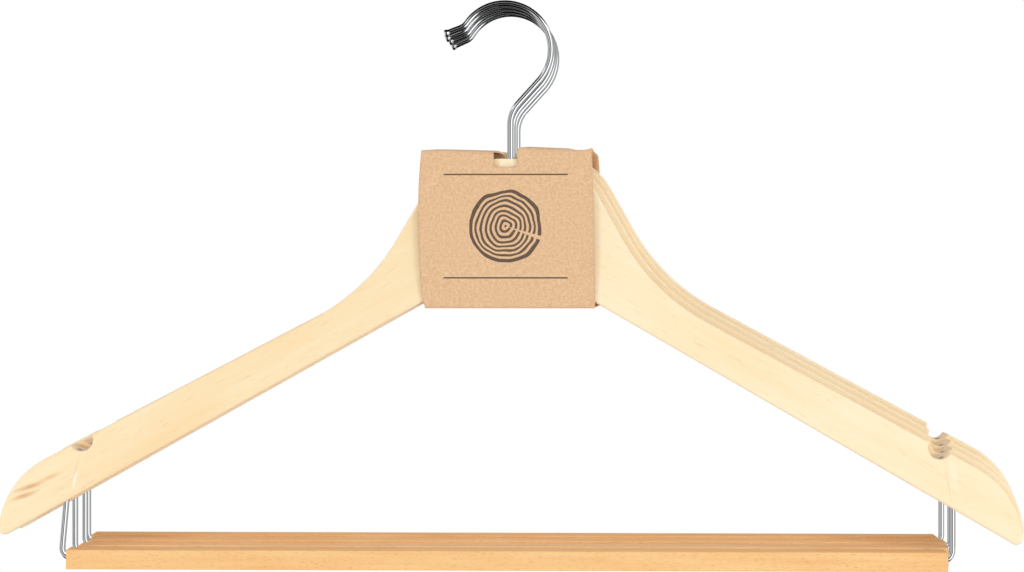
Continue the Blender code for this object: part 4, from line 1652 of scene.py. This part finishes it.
@dataclass(frozen=True)
class Studio:
    """A white room with large soft lamps, as a shop photographs its goods."""

    front_plane: float = -0.02445
    front_scale: float = 2294.0
    middle_pixel: tuple[float, float] = (509.3, 4.8)
    vanishing_pixel: tuple[float, float] = (500.0, 255.0)
    camera_distance: float = 0.845
    pan_deg: float = 1.2
    sensor: float = 36.0
    lamp_place: tuple[float, float, float] = (1.20, -0.85, 0.10)
    lamp_aim: tuple[float, float, float] = (0.0, 0.0, -0.12)
    lamp_size: float = 0.35
    lamp_power: float = 4.7
    ambient: float = 0.585
    sky: float = 0.45
    floor_height: float = -0.46
    floor_half: float = 3.0
    floor_spots: int = 9
    floor_glow: float = 0.15
    bearings_deg: tuple[float, float, float] = (-90.0, -150.0, -54.0)
    light_bands: tuple[tuple[float, float], ...] = ((-0.60, 0.5), (0.52, 1.2))

    def add_camera(self) -> None:
        """Place the camera where the photograph's perspective puts it, level and turned a little to the left.

        In the plane through the front of the pack a pixel is 1 / front_scale metres. The focal length in
        pixels is that scale times the distance, and the small shift moves the vanishing point off the middle
        of the picture. The camera swings by the pan about the front of the pack, so that the pack's right
        side comes nearer.
        """
        width, height = IMAGE_SIZE
        lens = bpy.data.cameras.new("camera")
        lens.sensor_width = self.sensor
        lens.lens = self.front_scale * self.camera_distance * self.sensor / width
        lens.shift_x = (width / 2 - self.vanishing_pixel[0]) / width
        lens.shift_y = (self.vanishing_pixel[1] - height / 2) / width
        lens.clip_start = 0.01
        camera = bpy.data.objects.new("camera", lens)
        x = (self.vanishing_pixel[0] - self.middle_pixel[0]) / self.front_scale
        z = (self.middle_pixel[1] - self.vanishing_pixel[1]) / self.front_scale
        pan = math.radians(self.pan_deg)
        aside = x * math.cos(pan) + self.camera_distance * math.sin(pan)
        away = x * math.sin(pan) - self.camera_distance * math.cos(pan)
        camera.location = (aside, self.front_plane + away, z)
        camera.rotation_euler = (math.pi / 2, 0.0, pan)
        bpy.context.scene.collection.objects.link(camera)
        bpy.context.scene.camera = camera

    def add_lamps(self) -> None:
        """Hang a square soft lamp on each side, aimed at the middle of the pack.

        Metal mirrors the room instead of them.
        """
        for side in Side:
            lamp = bpy.data.lights.new(f"{side.label}_softbox", "AREA")
            lamp.shape = "SQUARE"
            lamp.size = self.lamp_size
            lamp.energy = self.lamp_power
            holder = bpy.data.objects.new(lamp.name, lamp)
            spot = np.array(self.lamp_place) * (side.value, 1.0, 1.0)
            holder.location = spot
            holder.visible_glossy = False
            ahead = np.array(self.lamp_aim) - spot
            flat = math.hypot(ahead[0], ahead[1])
            holder.rotation_euler = (math.atan2(flat, -ahead[2]), 0.0, math.atan2(-ahead[0], ahead[1]))
            bpy.context.scene.collection.objects.link(holder)

    def add_world(self) -> None:
        """Light the room evenly, show it white, and give metal the panels and dark gaps of a studio.

        Diffuse surfaces see an even grey room with a slightly brighter ceiling. Metal sees a low ring of grey
        walls, taller to the sides, dimmer behind, and dark in a slit on the left and where the camera stands.
        A white panel stands on the front right, and narrow light bands lie above and below the front. The
        rest is nearly black.
        """
        world = bpy.data.worlds.new("white_room")
        world.use_nodes = True
        tree = world.node_tree
        ray = add_node(tree, "LightPath")
        place = add_node(tree, "TexCoord").outputs["Generated"]
        x, y, z = add_node(tree, "SeparateXYZ", {0: place}).outputs
        height = add_node(tree, "Math", {0: z}, operation="ABSOLUTE")
        around = add_node(tree, "Math", {0: y, 1: x}, operation="ARCTAN2")
        off_camera, off_slit, off_panel = (
            distance_from(tree, around, math.radians(bearing)) for bearing in self.bearings_deg
        )
        # What each strength depends on, where its soft change starts and ends, and its values there.
        changes = (
            (off_camera, 0.20, 0.75, 0.0, 0.30),
            (off_camera, 0.15, 0.26, 0.02, 1.0),
            (off_slit, 0.11, 0.22, 0.02, 1.0),
            (off_panel, 0.25, 0.36, 1.5, 0.0),
            (x, -0.2, 0.2, 0.95, 0.75),
            (y, 0.2, 0.9, 1.0, 0.35),
            (y, 0.0, 0.3, 1.0, 0.0),
        )
        taller, gap, slit, panel, walls, back, front = (
            add_node(tree, "MapRange", {"Value": value, "From Min": start, "From Max": end, "To Min": before,
                                        "To Max": after}, interpolation_type="SMOOTHSTEP")
            for value, start, end, before, after in changes
        )
        reach = add_node(tree, "Math", {0: height, 1: taller}, operation="SUBTRACT")
        ring = add_node(tree, "MapRange", {"Value": reach, "From Min": 0.24, "From Max": 0.36, "To Min": 1.0,
                                           "To Max": 0.012}, interpolation_type="SMOOTHSTEP")
        slit_walls = add_node(tree, "Math", {0: walls, 1: slit}, operation="MULTIPLY")
        shaded = add_node(tree, "Math", {0: slit_walls, 1: back}, operation="MULTIPLY")
        opened = add_node(tree, "Math", {0: shaded, 1: gap, 2: panel}, operation="MULTIPLY_ADD")
        seen = add_node(tree, "Math", {0: opened, 1: ring}, operation="MULTIPLY")
        for band_height, strength in self.light_bands:
            off_band = distance_from(tree, z, band_height)
            band = add_node(tree, "MapRange", {"Value": off_band, "From Min": 0.03, "From Max": 0.08,
                                               "To Min": strength, "To Max": 0.0},
                            interpolation_type="SMOOTHSTEP")
            seen = add_node(tree, "Math", {0: band, 1: front, 2: seen}, operation="MULTIPLY_ADD")
        up = add_node(tree, "Math", {0: z, 1: 0.0}, operation="MAXIMUM")
        up_squared = add_node(tree, "Math", {0: up, 1: up}, operation="MULTIPLY")
        sky = add_node(tree, "Math", {0: up_squared, 1: self.sky, 2: self.ambient}, operation="MULTIPLY_ADD")
        level = add_node(tree, "Mix", {0: ray.outputs["Is Glossy Ray"], 2: sky, 3: seen}, data_type="FLOAT")
        shown = add_node(tree, "Mix", {0: ray.outputs["Is Camera Ray"], 2: level, 3: 1.0}, data_type="FLOAT")
        feed(tree, tree.nodes["Background"], {"Color": WHITE, "Strength": shown})
        bpy.context.scene.world = world

    def add_floor(self) -> None:
        """Lay a wide matt white floor well below the pack.

        The camera sees it as white as the room, metal sees through it to the room's lower half, and
        everything else gets its bounced light with a small glow of its own.
        """
        spots = np.linspace(-self.floor_half, self.floor_half, self.floor_spots)
        x, y = np.meshgrid(spots, spots, indexing="ij")
        points = np.stack((x, y, np.full_like(x, self.floor_height)), axis=-1).reshape(-1, 3)
        faces = grid_faces(self.floor_spots, self.floor_spots, wrap=False)[:, ::-1]
        floor = surface("floor", points, [faces])
        material = bpy.data.materials.new("matt_white_floor")
        material.use_nodes = True
        tree = material.node_tree
        tree.nodes.clear()
        ray = add_node(tree, "LightPath")
        matt = add_node(tree, "BsdfDiffuse", {"Color": (0.82, 0.82, 0.82, 1.0)})
        glow = add_node(tree, "Emission", {"Color": WHITE, "Strength": self.floor_glow})
        bounced = add_node(tree, "AddShader", {0: matt, 1: glow})
        white = add_node(tree, "Emission", {"Color": WHITE, "Strength": 1.0})
        shown = add_node(tree, "MixShader", {0: ray.outputs["Is Camera Ray"], 1: bounced, 2: white})
        clear = add_node(tree, "BsdfTransparent")
        mirrored = add_node(tree, "MixShader", {0: ray.outputs["Is Glossy Ray"], 1: shown, 2: clear})
        add_node(tree, "OutputMaterial", {"Surface": mirrored})
        floor.data.materials.append(material)

    def build(self) -> None:
        """Set up the whole studio."""
        self.add_camera()
        self.add_lamps()
        self.add_world()
        self.add_floor()
        bpy.context.scene.view_settings.view_transform = "Standard"


def main() -> None:
    """Build the pack and its studio in order."""
    logging.basicConfig(level=logging.INFO, format="%(name)s: %(message)s")
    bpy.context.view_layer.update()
    stack = Stack()
    boards = Boards(stack)
    boards.build()
    SwivelHooks(stack).build()
    HookWashers(stack).build()
    TrouserWires(stack, boards).build()
    TrouserBars(stack).build()
    KraftBand(stack).build()
    Studio().build()


if __name__ == "__main__":
    main()
